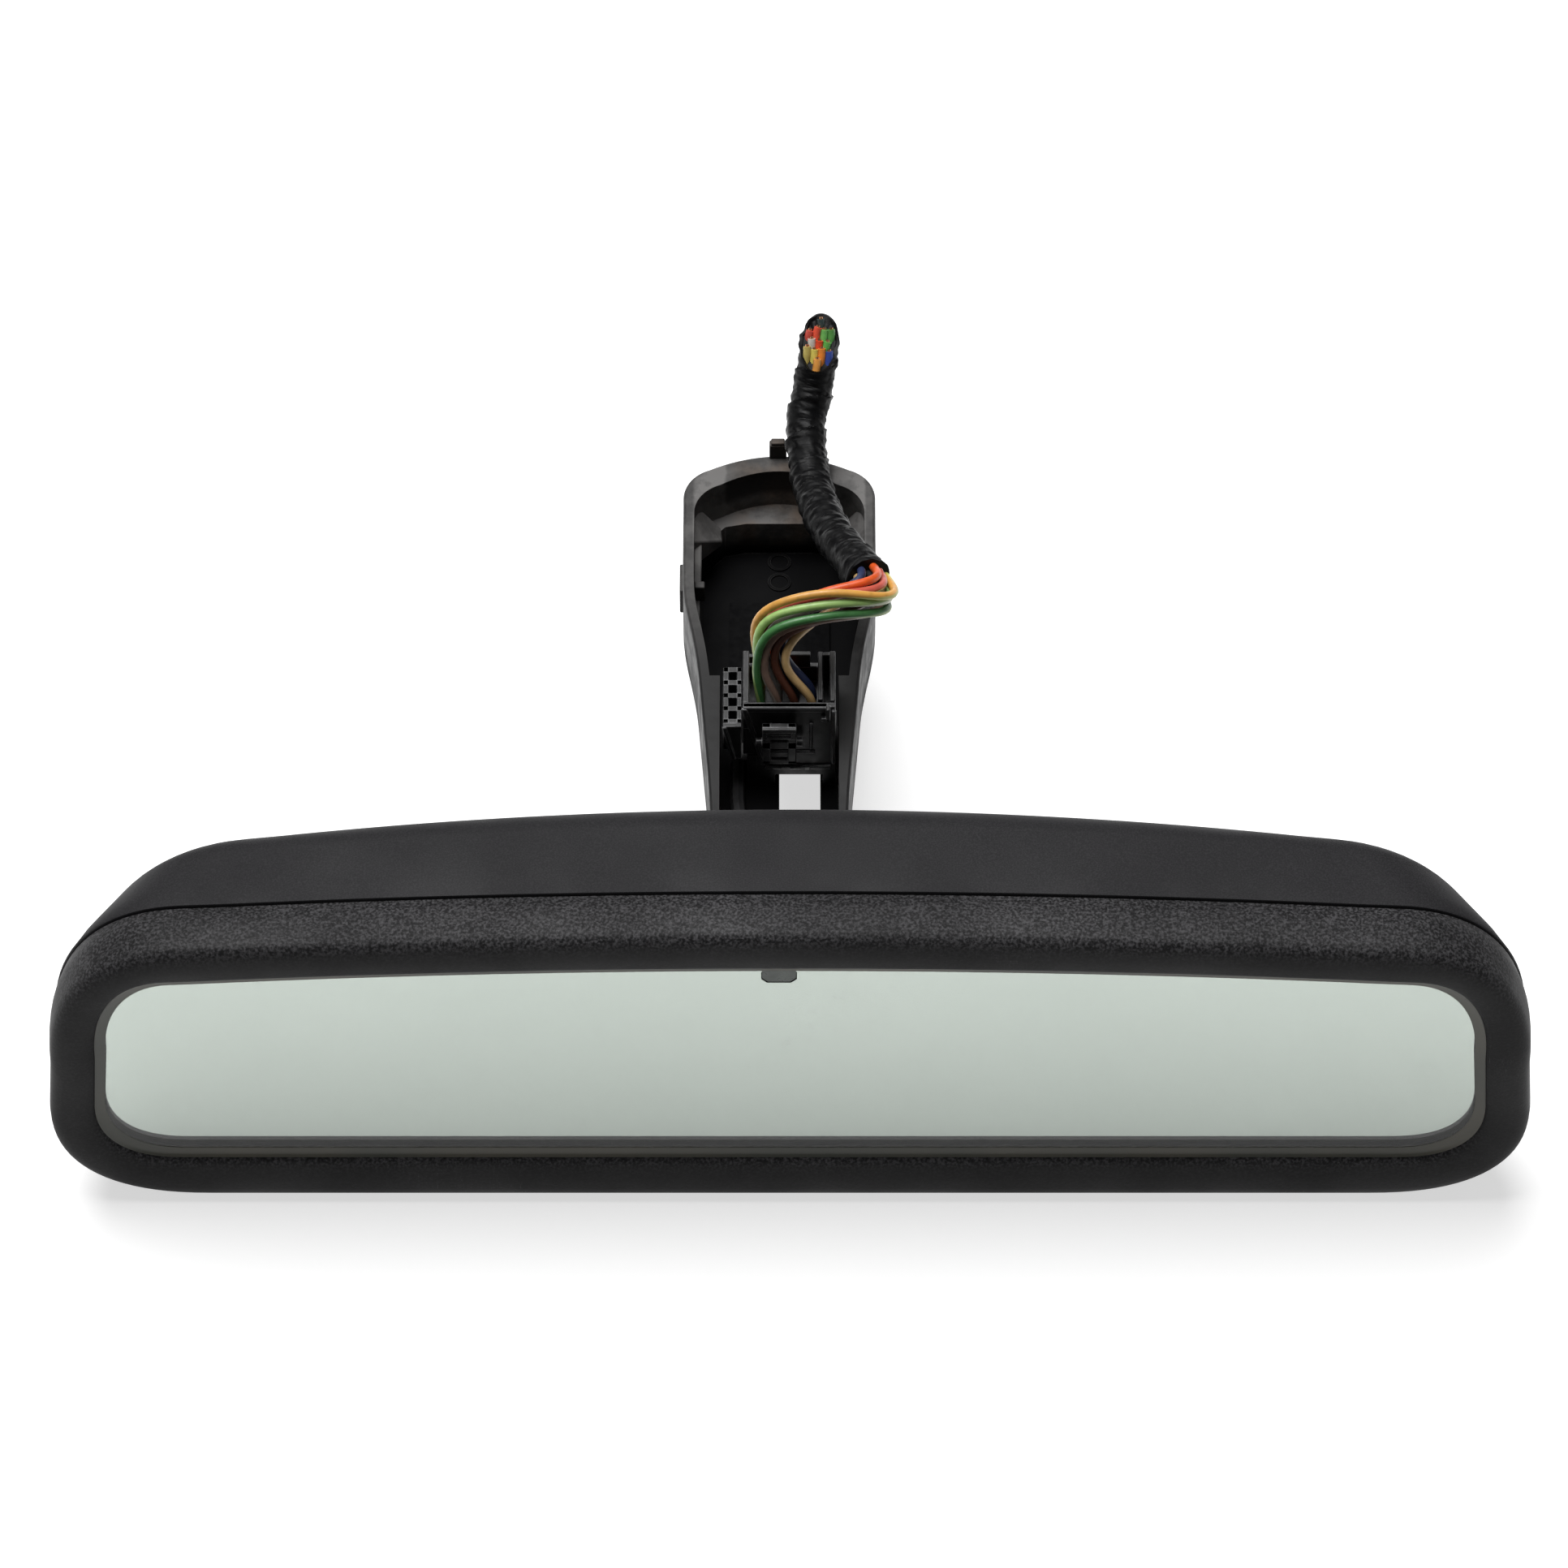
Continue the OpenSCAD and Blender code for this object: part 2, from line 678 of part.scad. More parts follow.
module header_socket() {
    x0 = nose_x0 - header_gap;
    x1 = nose_x1 + header_gap;
    y0 = nose_y0 - header_gap;
    y1 = nose_y1 + header_gap;
    z0 = nose_z0 - header_gap;
    color(black)
        difference() {
            union() {
                box(x0 - header_wall, x1 + header_wall, y0 - header_wall, y1 + header_wall, header_z0,
                    plug_z0 - 0.3);
                for (x = [[x0 - header_wall, -1.2], [7.2, x1 + header_wall]])
                    box(x[0], x[1], y0 - header_wall, y1 + header_wall, channel_floor, header_z0 + eps);
                box(x0 - 3.2, x0, 78, 82, channel_floor, channel_floor + 2);
            }
            box(x0, x1, y0, y1, z0, plug_z0 + 1);
            at_pins() cylinder(r = pin_r, h = 40, center = true);
            for (x = [0.5, 3.5, 6])
                box(x, x + 1.6, y0 - header_wall - 1, y0 + 1, z0 + 0.8, z0 + 2);
        }
}

module at_pins() {
    for (i = [0:4], y = [78, 81.6])
        translate([-2.6 + 2.1 * i, y, 0])
            children();
}

module header_pins() {
    color(copper)
        at_pins()
            translate([0, 0, header_z0 - 0.6])
                cylinder(r = pin_r, h = plug_z0 - header_z0, $fn = 24);
}

module inner_lead() {
    color(black)
        tube([[0, ball_y + 2, 0], [0, arm_y + 1.6, 0], [-1.5, arm_y + 3.6, -0.7], [lead_x, arm_y + 6, lead_z],
            [-6.6, arm_y + 10, -3.5], [-7.4, 68, -4.6], [-7.4, 77, -4.6]], lead_r);
}

// ---- plug ----

module plug_housing() {
    color(black) {
        difference() {
            union() {
                box(plug_x0, plug_x1, plug_y0, plug_y1, plug_z0, plug_z1);
                front_panel();
                box(nose_x0, nose_x1, nose_y0, nose_y1, nose_z0, plug_z0 + eps);
                box(plug_x0 - 1.4, plug_x0 + eps, 75, 84, 8, 10);
                for (x = [latch_x - 4.3, latch_x + 3.5])
                    box(x, x + 0.8, latch_y - 1.4, plug_y0 - 1, latch_z - 1.5, latch_z + 1.5);
            }
            box(plug_x0 + 1, plug_x1 - 2.2, plug_y0 - 0.2, plug_y1 - 1.2, entry_z, plug_z1 + 1);
            box(plug_x1 - 1.5, plug_x1 - 0.9, plug_y0 + 1, plug_y1 - 1, plug_z0 + 2, plug_z1 + 1);
            box(plug_x0 + 3, plug_x1 - 5, plug_y1 - 2, plug_y1 + 1, plug_z1 - 3.5, plug_z1 - 1.6);
            at_pins() translate([0, 0, nose_z0 - 1]) cylinder(r = pin_r + 0.3, h = 8);
            for (x = wire_cavities())
                translate([x[0], x[1], entry_z - 2]) cylinder(r = wire_r + 0.15, h = 3);
            translate([latch_x - 6, latch_y, latch_z])
                rotate([0, 90, 0])
                    cylinder(r = latch_pin_r + 0.06, h = 12);
        }
    }
}

function wire_cavities() = [for (k = [0:wire_count - 1]) wire_point(k, 0) - plug_shift];

module front_panel() {
    translate([0, plug_y0 + eps, 0])
        rotate([90, 0, 0])
            linear_extrude(1.2)
                polygon([[plug_x0, plug_z1], [plug_x1, plug_z1], [plug_x1, plug_z0], [plug_x0 + 2, plug_z0],
                    [plug_x0 + 0.3, plug_z1 - 1.5], [plug_x0, plug_z1 - 1.5]]);
}

module plug_slider() {
    x0 = slider_x0;
    x1 = slider_x1;
    top = slider_top;
    color(black)
        difference() {
            union() {
                box(x0, x1, slider_y0, slider_y0 + 13, 5.4, top);
                translate([0, slider_y0 + eps, 0])
                    rotate([90, 0, 0])
                        linear_extrude(1)
                            polygon([[x0, top], [x1, top], [x1, 4], [x0 + 1.6, 4], [x0, top - 4]]);
            }
            box(x1 - 1.3, x1 + 1, 74.7, 84.3, 7.8, 10.2);
            for (y = [73.6, 76.6, 79.6, 82.4])
                box(x0 + 1, x1 - 0.8, y, y + 1.9, 10.6, top + 1);
        }
}

module plug_terminals() {
    color(copper)
        for (x = wire_cavities())
            translate([x[0], x[1], entry_z - 2])
                cylinder(r = wire_r - 0.1, h = 2, $fn = 24);
}

module plug_latch() {
    color(black) {
        difference() {
            union() {
                box(latch_x - 3, latch_x + 3, latch_y - 0.9, latch_y + 0.1, latch_z - 5, latch_z + 5);
                box(latch_x - 3, latch_x + 3, latch_y - 0.9, latch_y + 0.8, latch_z - 0.9, latch_z + 0.9);
                box(latch_x - 3, latch_x + 3, latch_y - 1.5, latch_y - 0.9 + eps, latch_z + 4, latch_z + 5);
            }
            box(latch_x - 1.4, latch_x + 1.4, latch_y - 2, latch_y + 1, latch_z - 4, latch_z - 1.8);
        }
        translate([latch_x - 4.2, latch_y, latch_z])
            rotate([0, 90, 0])
                cylinder(r = latch_pin_r, h = 8.4);
    }
}

// ---- harness ----

// wire k sits at column k % 4 and row floor(k / 4) of the bundle
function wire_point(k, s) = let(
        c = k % 4 - 1.5,
        r = floor(k / 4) - 1,
        turn = bundle_turn[s],
        col = c * cos(turn) - r * sin(turn),
        row = c * sin(turn) + r * cos(turn))
    bundle[s] + col * bundle_u[s] + row * bundle_v[s];

module wire(k) {
    color(wire_colours[k])
        tube([for (s = [0:len(bundle) - 1]) wire_point(k, s)], wire_r, flat_start = true);
}

module harness_tape() {
    color(black)
        tube(loom, loom_d / 2, 12);
}

module cut_wire_ends() {
    tip = loom[len(loom) - 1];
    aim = unit(tip - loom[len(loom) - 2]);
    side = unit(cross(aim, [0, 1, 0]));
    up = cross(side, aim);
    spots = [[0, 0], [1.5, 0.3], [-1.5, -0.3], [0.5, 1.6], [-0.9, 1.4], [0.9, -1.5], [-0.5, -1.7], [2.3, -1.2],
        [-2.4, 1.1]];
    color([0.7, 0.4, 0.2])
        for (k = [0:len(spots) - 1])
            let(base = tip + side * spots[k][0] + up * spots[k][1])
                tube([base - aim * 0.5, base + aim * (2.4 + spots[k][0])], 0.7);
}

module place() {
    translate(-origin) children();
}

module at_plug() {
    translate(plug_shift) children();
}

place() bezel();
place() rear_housing();
place() front_glass();
place() cell_seal();
place() rear_glass();
place() upper_bus_clip();
place() lower_bus_clip();
place() foam_pad();
place() carrier_plate();
place() circuit_board();
place() board_chips();
place() board_connector();
place() board_screws();
place() glare_sensor();
place() ambient_sensor();
place() ambient_lens();
place() socket_plate();
place() socket_screws();
place() ball_seat();
place() preload_ring();
place() foot_shell();
place() ball_stud();
place() stud_screws();
place() seat_plate();
place() seat_screws();
place() at_plug() header_socket();
place() at_plug() header_pins();
place() inner_lead();
place() at_plug() plug_housing();
place() at_plug() plug_slider();
place() at_plug() plug_terminals();
place() at_plug() plug_latch();
place() harness_tape();
place() cut_wire_ends();
place() wire(0);  // wire_1
place() wire(1);  // wire_2
place() wire(2);  // wire_3
place() wire(3);  // wire_4
place() wire(4);  // wire_5
place() wire(5);  // wire_6
place() wire(6);  // wire_7
place() wire(7);  // wire_8
place() wire(8);  // wire_9
place() wire(9);  // wire_10
place() wire(10);  // wire_11
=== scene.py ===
import bpy
import json
import math
import random
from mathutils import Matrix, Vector, noise


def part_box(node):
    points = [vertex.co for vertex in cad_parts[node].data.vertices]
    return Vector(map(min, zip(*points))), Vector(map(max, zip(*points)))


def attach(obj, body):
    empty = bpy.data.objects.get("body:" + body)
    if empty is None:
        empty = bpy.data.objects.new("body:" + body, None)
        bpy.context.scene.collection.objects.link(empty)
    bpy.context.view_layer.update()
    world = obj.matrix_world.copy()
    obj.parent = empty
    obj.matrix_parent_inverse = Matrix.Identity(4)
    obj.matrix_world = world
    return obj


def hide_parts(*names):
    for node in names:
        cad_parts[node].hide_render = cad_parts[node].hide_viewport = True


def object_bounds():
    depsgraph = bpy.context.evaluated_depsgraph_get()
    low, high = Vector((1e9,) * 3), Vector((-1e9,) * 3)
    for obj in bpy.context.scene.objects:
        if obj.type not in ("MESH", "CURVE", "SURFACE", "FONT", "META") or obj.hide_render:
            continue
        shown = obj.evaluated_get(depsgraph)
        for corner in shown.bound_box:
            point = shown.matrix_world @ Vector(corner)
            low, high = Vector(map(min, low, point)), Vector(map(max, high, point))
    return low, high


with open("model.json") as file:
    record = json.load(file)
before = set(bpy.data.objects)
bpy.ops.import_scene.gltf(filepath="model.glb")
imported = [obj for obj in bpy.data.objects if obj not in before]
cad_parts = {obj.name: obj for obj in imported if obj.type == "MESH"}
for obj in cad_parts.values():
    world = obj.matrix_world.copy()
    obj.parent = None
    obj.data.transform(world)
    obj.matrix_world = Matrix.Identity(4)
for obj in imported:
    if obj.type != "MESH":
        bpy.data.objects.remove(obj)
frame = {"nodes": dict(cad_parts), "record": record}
rest_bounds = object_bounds()
nodes = frame["nodes"]
scene = bpy.context.scene
random.seed(7)

# The head's own frame: X from the ball, Y from the lip's plane less its set-back, Z from the head's middle.
bezel_lo, bezel_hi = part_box("bezel")
LIP_Y = 3.2
ORIGIN = Vector((0, bezel_lo.y - LIP_Y / 1000, (bezel_lo.z + bezel_hi.z) / 2))


def H(x, y, z):
    """A place in the head's own frame, in millimetres, as a point in metres."""
    return ORIGIN + Vector((x, y, z)) / 1000


def y_at(mm):
    return H(0, mm, 0).y


def z_at(mm):
    return H(0, 0, mm).z


# ---------------------------------------------------------------- camera

ELEVATION, DISTANCE, LENS, SENSOR = math.radians(50), 1.6, 213.2, 36
back = Vector((0, -math.cos(ELEVATION), math.sin(ELEVATION)))
camera_data = bpy.data.cameras.new("camera")
camera = bpy.data.objects.new("camera", camera_data)
scene.collection.objects.link(camera)
scene.camera = camera
camera.location = H(0.84, 42, 31.4) + back * DISTANCE
camera.rotation_mode = "QUATERNION"
camera.rotation_quaternion = (-back).to_track_quat("-Z", "Y")
camera_data.sensor_width, camera_data.lens = SENSOR, LENS
camera_data.clip_start, camera_data.clip_end = 0.1, 20
camera_data.dof.use_dof = False
scene.view_settings.view_transform = "Standard"


# ---------------------------------------------------------------- materials

MIX_FACTOR, MIX_A, MIX_B, MIX_RESULT = 0, 6, 7, 2   # the colour sockets of Blender's Mix node


class Look:
    """A material under construction: short names for the nodes it needs."""

    def __init__(self, name, color, rough=0.5, metallic=0.0, spec=0.5):
        self.mat = bpy.data.materials.new(name)
        self.mat.use_nodes = True
        self.tree = self.mat.node_tree
        self.shader = self.tree.nodes["Principled BSDF"]
        self.out = self.tree.nodes["Material Output"]
        self.set("Base Color", (*color, 1))
        self.set("Roughness", rough)
        self.set("Metallic", metallic)
        self.set("Specular IOR Level", spec)
        self.bump_in = None
        self.coords = self.node("ShaderNodeTexCoord").outputs["Object"]

    def set(self, socket, value):
        self.shader.inputs[socket].default_value = value

    def node(self, kind, **values):
        made = self.tree.nodes.new(kind)
        for key, value in values.items():
            if hasattr(made, key):
                setattr(made, key, value)
            else:
                made.inputs[key.replace("_", " ")].default_value = value
        return made

    def link(self, a, b):
        self.tree.links.new(a, b)

    def noise(self, per_mm, detail=2.0, coords=None, rough=0.5):
        made = self.node("ShaderNodeTexNoise", Scale=per_mm * 1000, Detail=detail, Roughness=rough)
        self.link(coords or self.coords, made.inputs["Vector"])
        return made.outputs["Fac"]

    def stretch(self, x, y, z):
        made = self.node("ShaderNodeMapping")
        made.inputs["Scale"].default_value = (x, y, z)
        self.link(self.coords, made.inputs["Vector"])
        return made.outputs["Vector"]

    def ramp(self, source, lo, hi, to_lo=0.0, to_hi=1.0):
        made = self.node("ShaderNodeMapRange")
        made.interpolation_type = "SMOOTHSTEP"
        made.inputs["From Min"].default_value = lo
        made.inputs["From Max"].default_value = hi
        made.inputs["To Min"].default_value = to_lo
        made.inputs["To Max"].default_value = to_hi
        self.link(source, made.inputs["Value"])
        return made.outputs["Result"]

    def math(self, operation, a, b):
        made = self.node("ShaderNodeMath", operation=operation)
        for socket, value in zip(made.inputs, (a, b)):
            if isinstance(value, (int, float)):
                socket.default_value = value
            else:
                self.link(value, socket)
        return made.outputs["Value"]

    def mix(self, factor, a, b):
        made = self.node("ShaderNodeMix", data_type="RGBA")
        for index, value in ((MIX_FACTOR, factor), (MIX_A, a), (MIX_B, b)):
            if isinstance(value, bpy.types.NodeSocket):
                self.link(value, made.inputs[index])
            else:
                made.inputs[index].default_value = value if index == MIX_FACTOR else (*value, 1)
        return made.outputs[MIX_RESULT]

    def color(self, output):
        self.link(output, self.shader.inputs["Base Color"])

    def roughness(self, output):
        self.link(output, self.shader.inputs["Roughness"])

    def bump(self, height, strength, mm):
        made = self.node("ShaderNodeBump", Strength=strength, Distance=mm / 1000)
        self.link(height, made.inputs["Height"])
        if self.bump_in is not None:
            self.link(self.bump_in, made.inputs["Normal"])
        self.bump_in = made.outputs["Normal"]
        self.link(self.bump_in, self.shader.inputs["Normal"])

    def axis(self, letter, vector=None):
        split = self.node("ShaderNodeSeparateXYZ")
        self.link(vector or self.coords, split.inputs[0])
        return split.outputs[letter]

    def edges(self, mm, lo=0.02, hi=0.16):
        """A mask that is 1 along the piece's sharp outer and inner edges."""
        rounded = self.node("ShaderNodeBevel", samples=4)
        rounded.inputs["Radius"].default_value = mm / 1000
        across = self.node("ShaderNodeVectorMath", operation="DOT_PRODUCT")
        self.link(rounded.outputs[0], across.inputs[0])
        self.link(self.node("ShaderNodeNewGeometry").outputs["Normal"], across.inputs[1])
        return self.ramp(across.outputs["Value"], 1 - hi, 1 - lo, 1.0, 0.0)


def scuffs(look, width=0.5):
    """Fine scratches in two directions, as a mask from 0 to 1."""
    marks = []
    for stretch in ((0.12, 1, 1.0), (1.0, 1, 0.1)):
        field = look.noise(0.9, 3.0, look.stretch(*stretch))
        centre = look.math("ABSOLUTE", look.math("SUBTRACT", field, 0.5), 0)
        marks.append(look.ramp(centre, 0.0, 0.006 * width, 1.0, 0.0))
    patch = look.ramp(look.noise(0.02, 2.0), 0.55, 0.68)
    return look.math("MULTIPLY", look.math("MAXIMUM", *marks), patch)


def grained(name, color, light, rough, grain_mm, depth, speckle, wear):
    """Moulded plastic with an eroded grain, its colour and gloss uneven and lightly scuffed, and its grain
    speckle painted stronger on upward faces as a painted top light.
    """
    look = Look(name, color, rough, spec=0.12)
    grain = look.noise(1 / grain_mm, 2.0, rough=0.6)
    broad = look.noise(0.03, 3.0)
    up = look.axis("Z", look.node("ShaderNodeNewGeometry").outputs["Normal"])
    # Painted light: the grain speckle is scaled up on upward faces and down on front faces, as if lit from
    # above.
    speckle_lit_from_above = look.math("MULTIPLY", look.ramp(grain, 0.35, 0.75, 0, speckle),
                        look.ramp(up, 0.0, 0.75, 0.1, 1.25))
    base = look.mix(speckle_lit_from_above, color, light)
    dull = look.mix(look.ramp(broad, 0.35, 0.7, 0, 0.35), base, tuple(c * 0.8 for c in color))
    marked = look.mix(look.math("MULTIPLY", scuffs(look), wear), dull, (0.09, 0.09, 0.093))
    look.color(marked)
    look.roughness(look.ramp(look.noise(0.05, 3.0), 0.3, 0.7, rough - 0.06, rough + 0.08))
    look.bump(grain, 0.55, depth)
    look.bump(look.noise(0.25, 2.0), 0.15, 0.02)
    return look


def plain(name, color, rough=0.5, metallic=0.0, spec=0.5, grain=2.0, depth=0.02, spread=0.18, edge_highlight=None):
    """A small part's finish: uneven colour and gloss, a fine grain, and, when an edge colour is given, edges
    painted in it as a patchy painted highlight.
    """
    look = Look(name, color, rough, metallic, spec)
    field = look.noise(0.4, 3.0)
    darker, lighter = (tuple(min(1, c * k) for c in color) for k in (1 - spread, 1 + spread))
    tone = look.mix(look.ramp(field, 0.3, 0.7), darker, lighter)
    if edge_highlight:
        # Painted highlight: the edges are mixed towards the given light colour, in patches.
        edge_wear_and_highlight = look.math("MULTIPLY", look.edges(0.3, 0.01, 0.1),
                           look.ramp(look.noise(0.5, 3.0), 0.3, 0.65, 0.15, 1.0))
        tone = look.mix(edge_wear_and_highlight, tone, edge_highlight)
    look.color(tone)
    look.roughness(look.ramp(look.noise(0.7, 2.0), 0.3, 0.7, rough - 0.07, rough + 0.1))
    look.bump(look.noise(grain, 2.0), 0.4, depth)
    return look


def metal(name, color, rough=0.3):
    """A small metal part's finish."""
    return plain(name, color, rough, metallic=1.0, grain=3.0, depth=0.008)


def insulation(name, color, stripe=None, rough=0.34):
    """PVC wire covering: a faint ripple, small stains, and a thin second colour along it where it has one."""
    look = Look(name, color, rough, spec=0.5)
    uv = look.node("ShaderNodeTexCoord").outputs["UV"]
    split = look.node("ShaderNodeSeparateXYZ")
    look.link(uv, split.inputs[0])
    stain = look.ramp(look.noise(0.6, 3.0), 0.4, 0.75, 0, 0.5)
    tone = look.mix(stain, color, tuple(c * 0.55 for c in color))
    if stripe:
        winding = look.math("MULTIPLY", split.outputs["Y"], 0.22)
        turn = look.math("FRACT", look.math("ADD", split.outputs["X"], winding), 0)
        band = look.ramp(look.math("ABSOLUTE", look.math("SUBTRACT", turn, 0.5), 0), 0.11, 0.14, 1, 0)
        tone = look.mix(band, tone, stripe)
    look.color(tone)
    look.roughness(look.ramp(look.noise(1.0, 2.0), 0.3, 0.7, rough - 0.06, rough + 0.12))
    look.bump(look.noise(1.5, 2.0), 0.25, 0.02)
    return look.mat


housing = grained("housing_plastic", (0.013, 0.0127, 0.0138), (0.031, 0.030, 0.0325), 0.58, grain_mm=0.28,
                  depth=0.025, speckle=0.5, wear=0.12)
bezel_look = grained("bezel_plastic", (0.0062, 0.006, 0.0064), (0.066, 0.0645, 0.068), 0.55, grain_mm=0.5,
                     depth=0.06, speckle=0.75, wear=0.45)


def arm_plastic():
    """Black shell: dust on its ledge and rims, browner in the middle, none in its deep hollows; painted light
    on its corner wedges and painted shade (less specular) deep in its hollows.
    """
    black = (0.0045, 0.0045, 0.0048)
    look = Look("arm_plastic", black, 0.5, spec=0.2)
    up = look.axis("Z", look.node("ShaderNodeNewGeometry").outputs["Normal"])
    x, y, z = (look.axis(letter) for letter in "XYZ")
    patchy = look.noise(0.22, 4.0, rough=0.65)
    facing = look.ramp(up, 0.3, 0.9)
    high = look.ramp(z, z_at(-5), z_at(-1.6))
    far = look.ramp(y, y_at(84), y_at(112))
    ledge = look.math("MULTIPLY", look.ramp(y, y_at(127), y_at(130)),
                      look.ramp(z, z_at(1), z_at(3.5), 1.0, 0.0))
    low = look.ramp(z, z_at(-8), z_at(-3))
    amount = look.math("ADD", look.math("MULTIPLY", look.math("MULTIPLY", facing, high),
                                        look.math("ADD", look.math("MULTIPLY", far, 0.36), 0.07)),
                       look.math("MULTIPLY", look.math("MULTIPLY", ledge, low), 0.95))
    away = look.math("ABSOLUTE", x, 0)
    # Painted light: the corner wedges are lifted towards the dust tone, standing in for the light their
    # sloping faces catch.
    corner = look.math("MULTIPLY", look.ramp(away, 0.0092, 0.0103), look.ramp(away, 0.0150, 0.0158, 1.0, 0.0))
    corner = look.math("MULTIPLY", corner, look.ramp(y, y_at(116), y_at(120)))
    extra = look.math("ADD", look.math("MULTIPLY", far, 0.16), look.math("MULTIPLY", corner, 0.9))
    amount = look.math("ADD", amount, look.math("MULTIPLY", high, extra))
    amount = look.math("MULTIPLY", amount, look.ramp(patchy, 0.3, 0.75, 0.4, 1.1))
    middle = look.ramp(away, 0.004, 0.010, 1.0, 0.0)
    brown = look.math("MULTIPLY", middle, look.ramp(look.noise(0.12, 3.0), 0.36, 0.6))
    # This tone is real dust on the ledge and rims, and also the painted light on the corner wedges.
    dust = look.mix(brown, (0.125, 0.121, 0.118), (0.15, 0.118, 0.095))
    tone = look.mix(amount, black, dust)
    edge_wear_and_highlight = look.math("MULTIPLY", look.edges(0.3), look.ramp(patchy, 0.35, 0.65, 0.05, 0.5))
    look.color(look.mix(edge_wear_and_highlight, tone, (0.085, 0.083, 0.08)))
    look.roughness(look.ramp(patchy, 0.3, 0.7, 0.4, 0.62))
    # Painted shade: the specular is turned down deep in the hollow, so it stays dark there.
    look.link(look.ramp(z, z_at(-7), z_at(0), 0.02, 0.2), look.shader.inputs["Specular IOR Level"])
    look.bump(look.noise(2.4, 2.0), 0.4, 0.03)
    return look


def tape_cloth():
    """Black harness tape: fine weave, dull and shiny patches, grey dust in the creases."""
    look = Look("harness_tape", (0.004, 0.004, 0.0043), 0.55, spec=0.12)
    patchy = look.noise(0.3, 4.0, rough=0.7)
    dusty = look.ramp(patchy, 0.5, 0.8, 0, 0.5)
    look.color(look.mix(dusty, (0.0025, 0.0025, 0.0028), (0.013, 0.0127, 0.0127)))
    look.roughness(look.ramp(look.noise(0.5, 3.0), 0.3, 0.7, 0.3, 0.6))
    look.bump(look.noise(4.0, 1.0), 0.3, 0.03)
    look.bump(look.noise(0.7, 4.0), 0.6, 0.12)
    return look


def mirror_glass():
    """The silvered rear sheet: a grey-green reflector."""
    look = Look("mirror_coat", (0.40, 0.44, 0.405), 0.02, metallic=1.0)
    haze = look.noise(0.015, 2.0)
    look.color(look.mix(look.ramp(haze, 0.3, 0.7), (0.395, 0.435, 0.40), (0.41, 0.45, 0.415)))
    return look


def clear_glass():
    """The front sheet: clear, with dust specks and hair scratches on it."""
    look = Look("front_glass", (0.975, 0.988, 0.978), 0.0, spec=0.5)
    look.set("Transmission Weight", 1.0)
    look.set("IOR", 1.45)
    cells = look.node("ShaderNodeTexVoronoi", Scale=200.0)
    look.link(look.coords, cells.inputs["Vector"])
    speck = look.ramp(cells.outputs["Distance"], 0.018, 0.03, 1.0, 0.0)
    rare = look.ramp(look.noise(0.06, 2.0), 0.5, 0.6)
    hair = look.noise(0.16, 2.0, look.stretch(0.55, 1, 1.0))
    line = look.ramp(look.math("ABSOLUTE", look.math("SUBTRACT", hair, 0.5), 0), 0.0, 0.0014, 1.0, 0.0)
    few = look.ramp(look.noise(0.035, 1.0), 0.63, 0.68)
    dirt = look.math("MAXIMUM", look.math("MULTIPLY", speck, rare),
                     look.math("MULTIPLY", look.math("MULTIPLY", line, few), 0.5))
    cover = look.node("ShaderNodeBsdfDiffuse")
    cover.inputs["Color"].default_value = (0.2, 0.19, 0.18, 1)
    blend = look.node("ShaderNodeMixShader")
    look.link(look.math("MULTIPLY", dirt, 0.6), blend.inputs[0])
    look.link(look.shader.outputs[0], blend.inputs[1])
    look.link(cover.outputs[0], blend.inputs[2])
    look.link(blend.outputs[0], look.out.inputs["Surface"])
    return look


# Its edges carry a light grey painted highlight.
black_nylon = plain("plug_plastic", (0.0075, 0.0075, 0.008), 0.4, spec=0.4, grain=1.6, depth=0.03, spread=0.3,
                    edge_highlight=(0.21, 0.21, 0.215))
arm_mat = arm_plastic()
tape_mat = tape_cloth()
materials = {
    "front_glass": clear_glass(), "cell_seal": plain("seal", (0.082, 0.078, 0.064), 0.6),
    "rear_glass": mirror_glass(), "foam_pad": plain("foam", (0.09, 0.09, 0.10), 0.9, depth=0.08),
    "carrier_plate": plain("inner_plastic", (0.03, 0.03, 0.03), 0.5),
    "circuit_board": plain("circuit_board", (0.03, 0.16, 0.07), 0.35),
    "board_chips": plain("chips", (0.025, 0.025, 0.027), 0.45),
    "board_connector": plain("board_connector", (0.68, 0.64, 0.52), 0.5),
    "glare_sensor": plain("sensor_window", (0.035, 0.045, 0.038), 0.3),
    "ambient_sensor": plain("sensor_body", (0.5, 0.5, 0.45), 0.2),
    "ambient_lens": plain("sensor_lens", (0.03, 0.03, 0.034), 0.15),
    "socket_plate": metal("socket_steel", (0.42, 0.42, 0.44), 0.35),
    "ball_seat": plain("acetal", (0.72, 0.70, 0.64), 0.4),
    "preload_ring": metal("spring_steel", (0.30, 0.30, 0.32), 0.3),
    "ball_stud": metal("stud_metal", (0.55, 0.55, 0.57), 0.32),
    # The seat plate is near-black and nearly matt: a painted shade for the deep cavity it lies in.
    "seat_plate": plain("seat_metal", (0.0022, 0.0022, 0.0025), 0.7, spec=0.05),
    "seat_screws": metal("screw_steel_black", (0.05, 0.05, 0.052), 0.35),
    "header_socket": plain("connector_plastic", (0.014, 0.014, 0.015), 0.45),
    "header_pins": metal("pin_metal", (0.70, 0.60, 0.38), 0.25),
    "inner_lead": plain("black_sleeve", (0.015, 0.015, 0.016), 0.5),
}
clip_metal = metal("bus_clip", (0.72, 0.45, 0.25), 0.3)
screw_metal = metal("screw_steel", (0.55, 0.55, 0.57), 0.3)
for name in ("upper_bus_clip", "lower_bus_clip"):
    materials[name] = clip_metal
for name in ("board_screws", "socket_screws", "stud_screws"):
    materials[name] = screw_metal
materials["plug_terminals"] = materials["header_pins"]
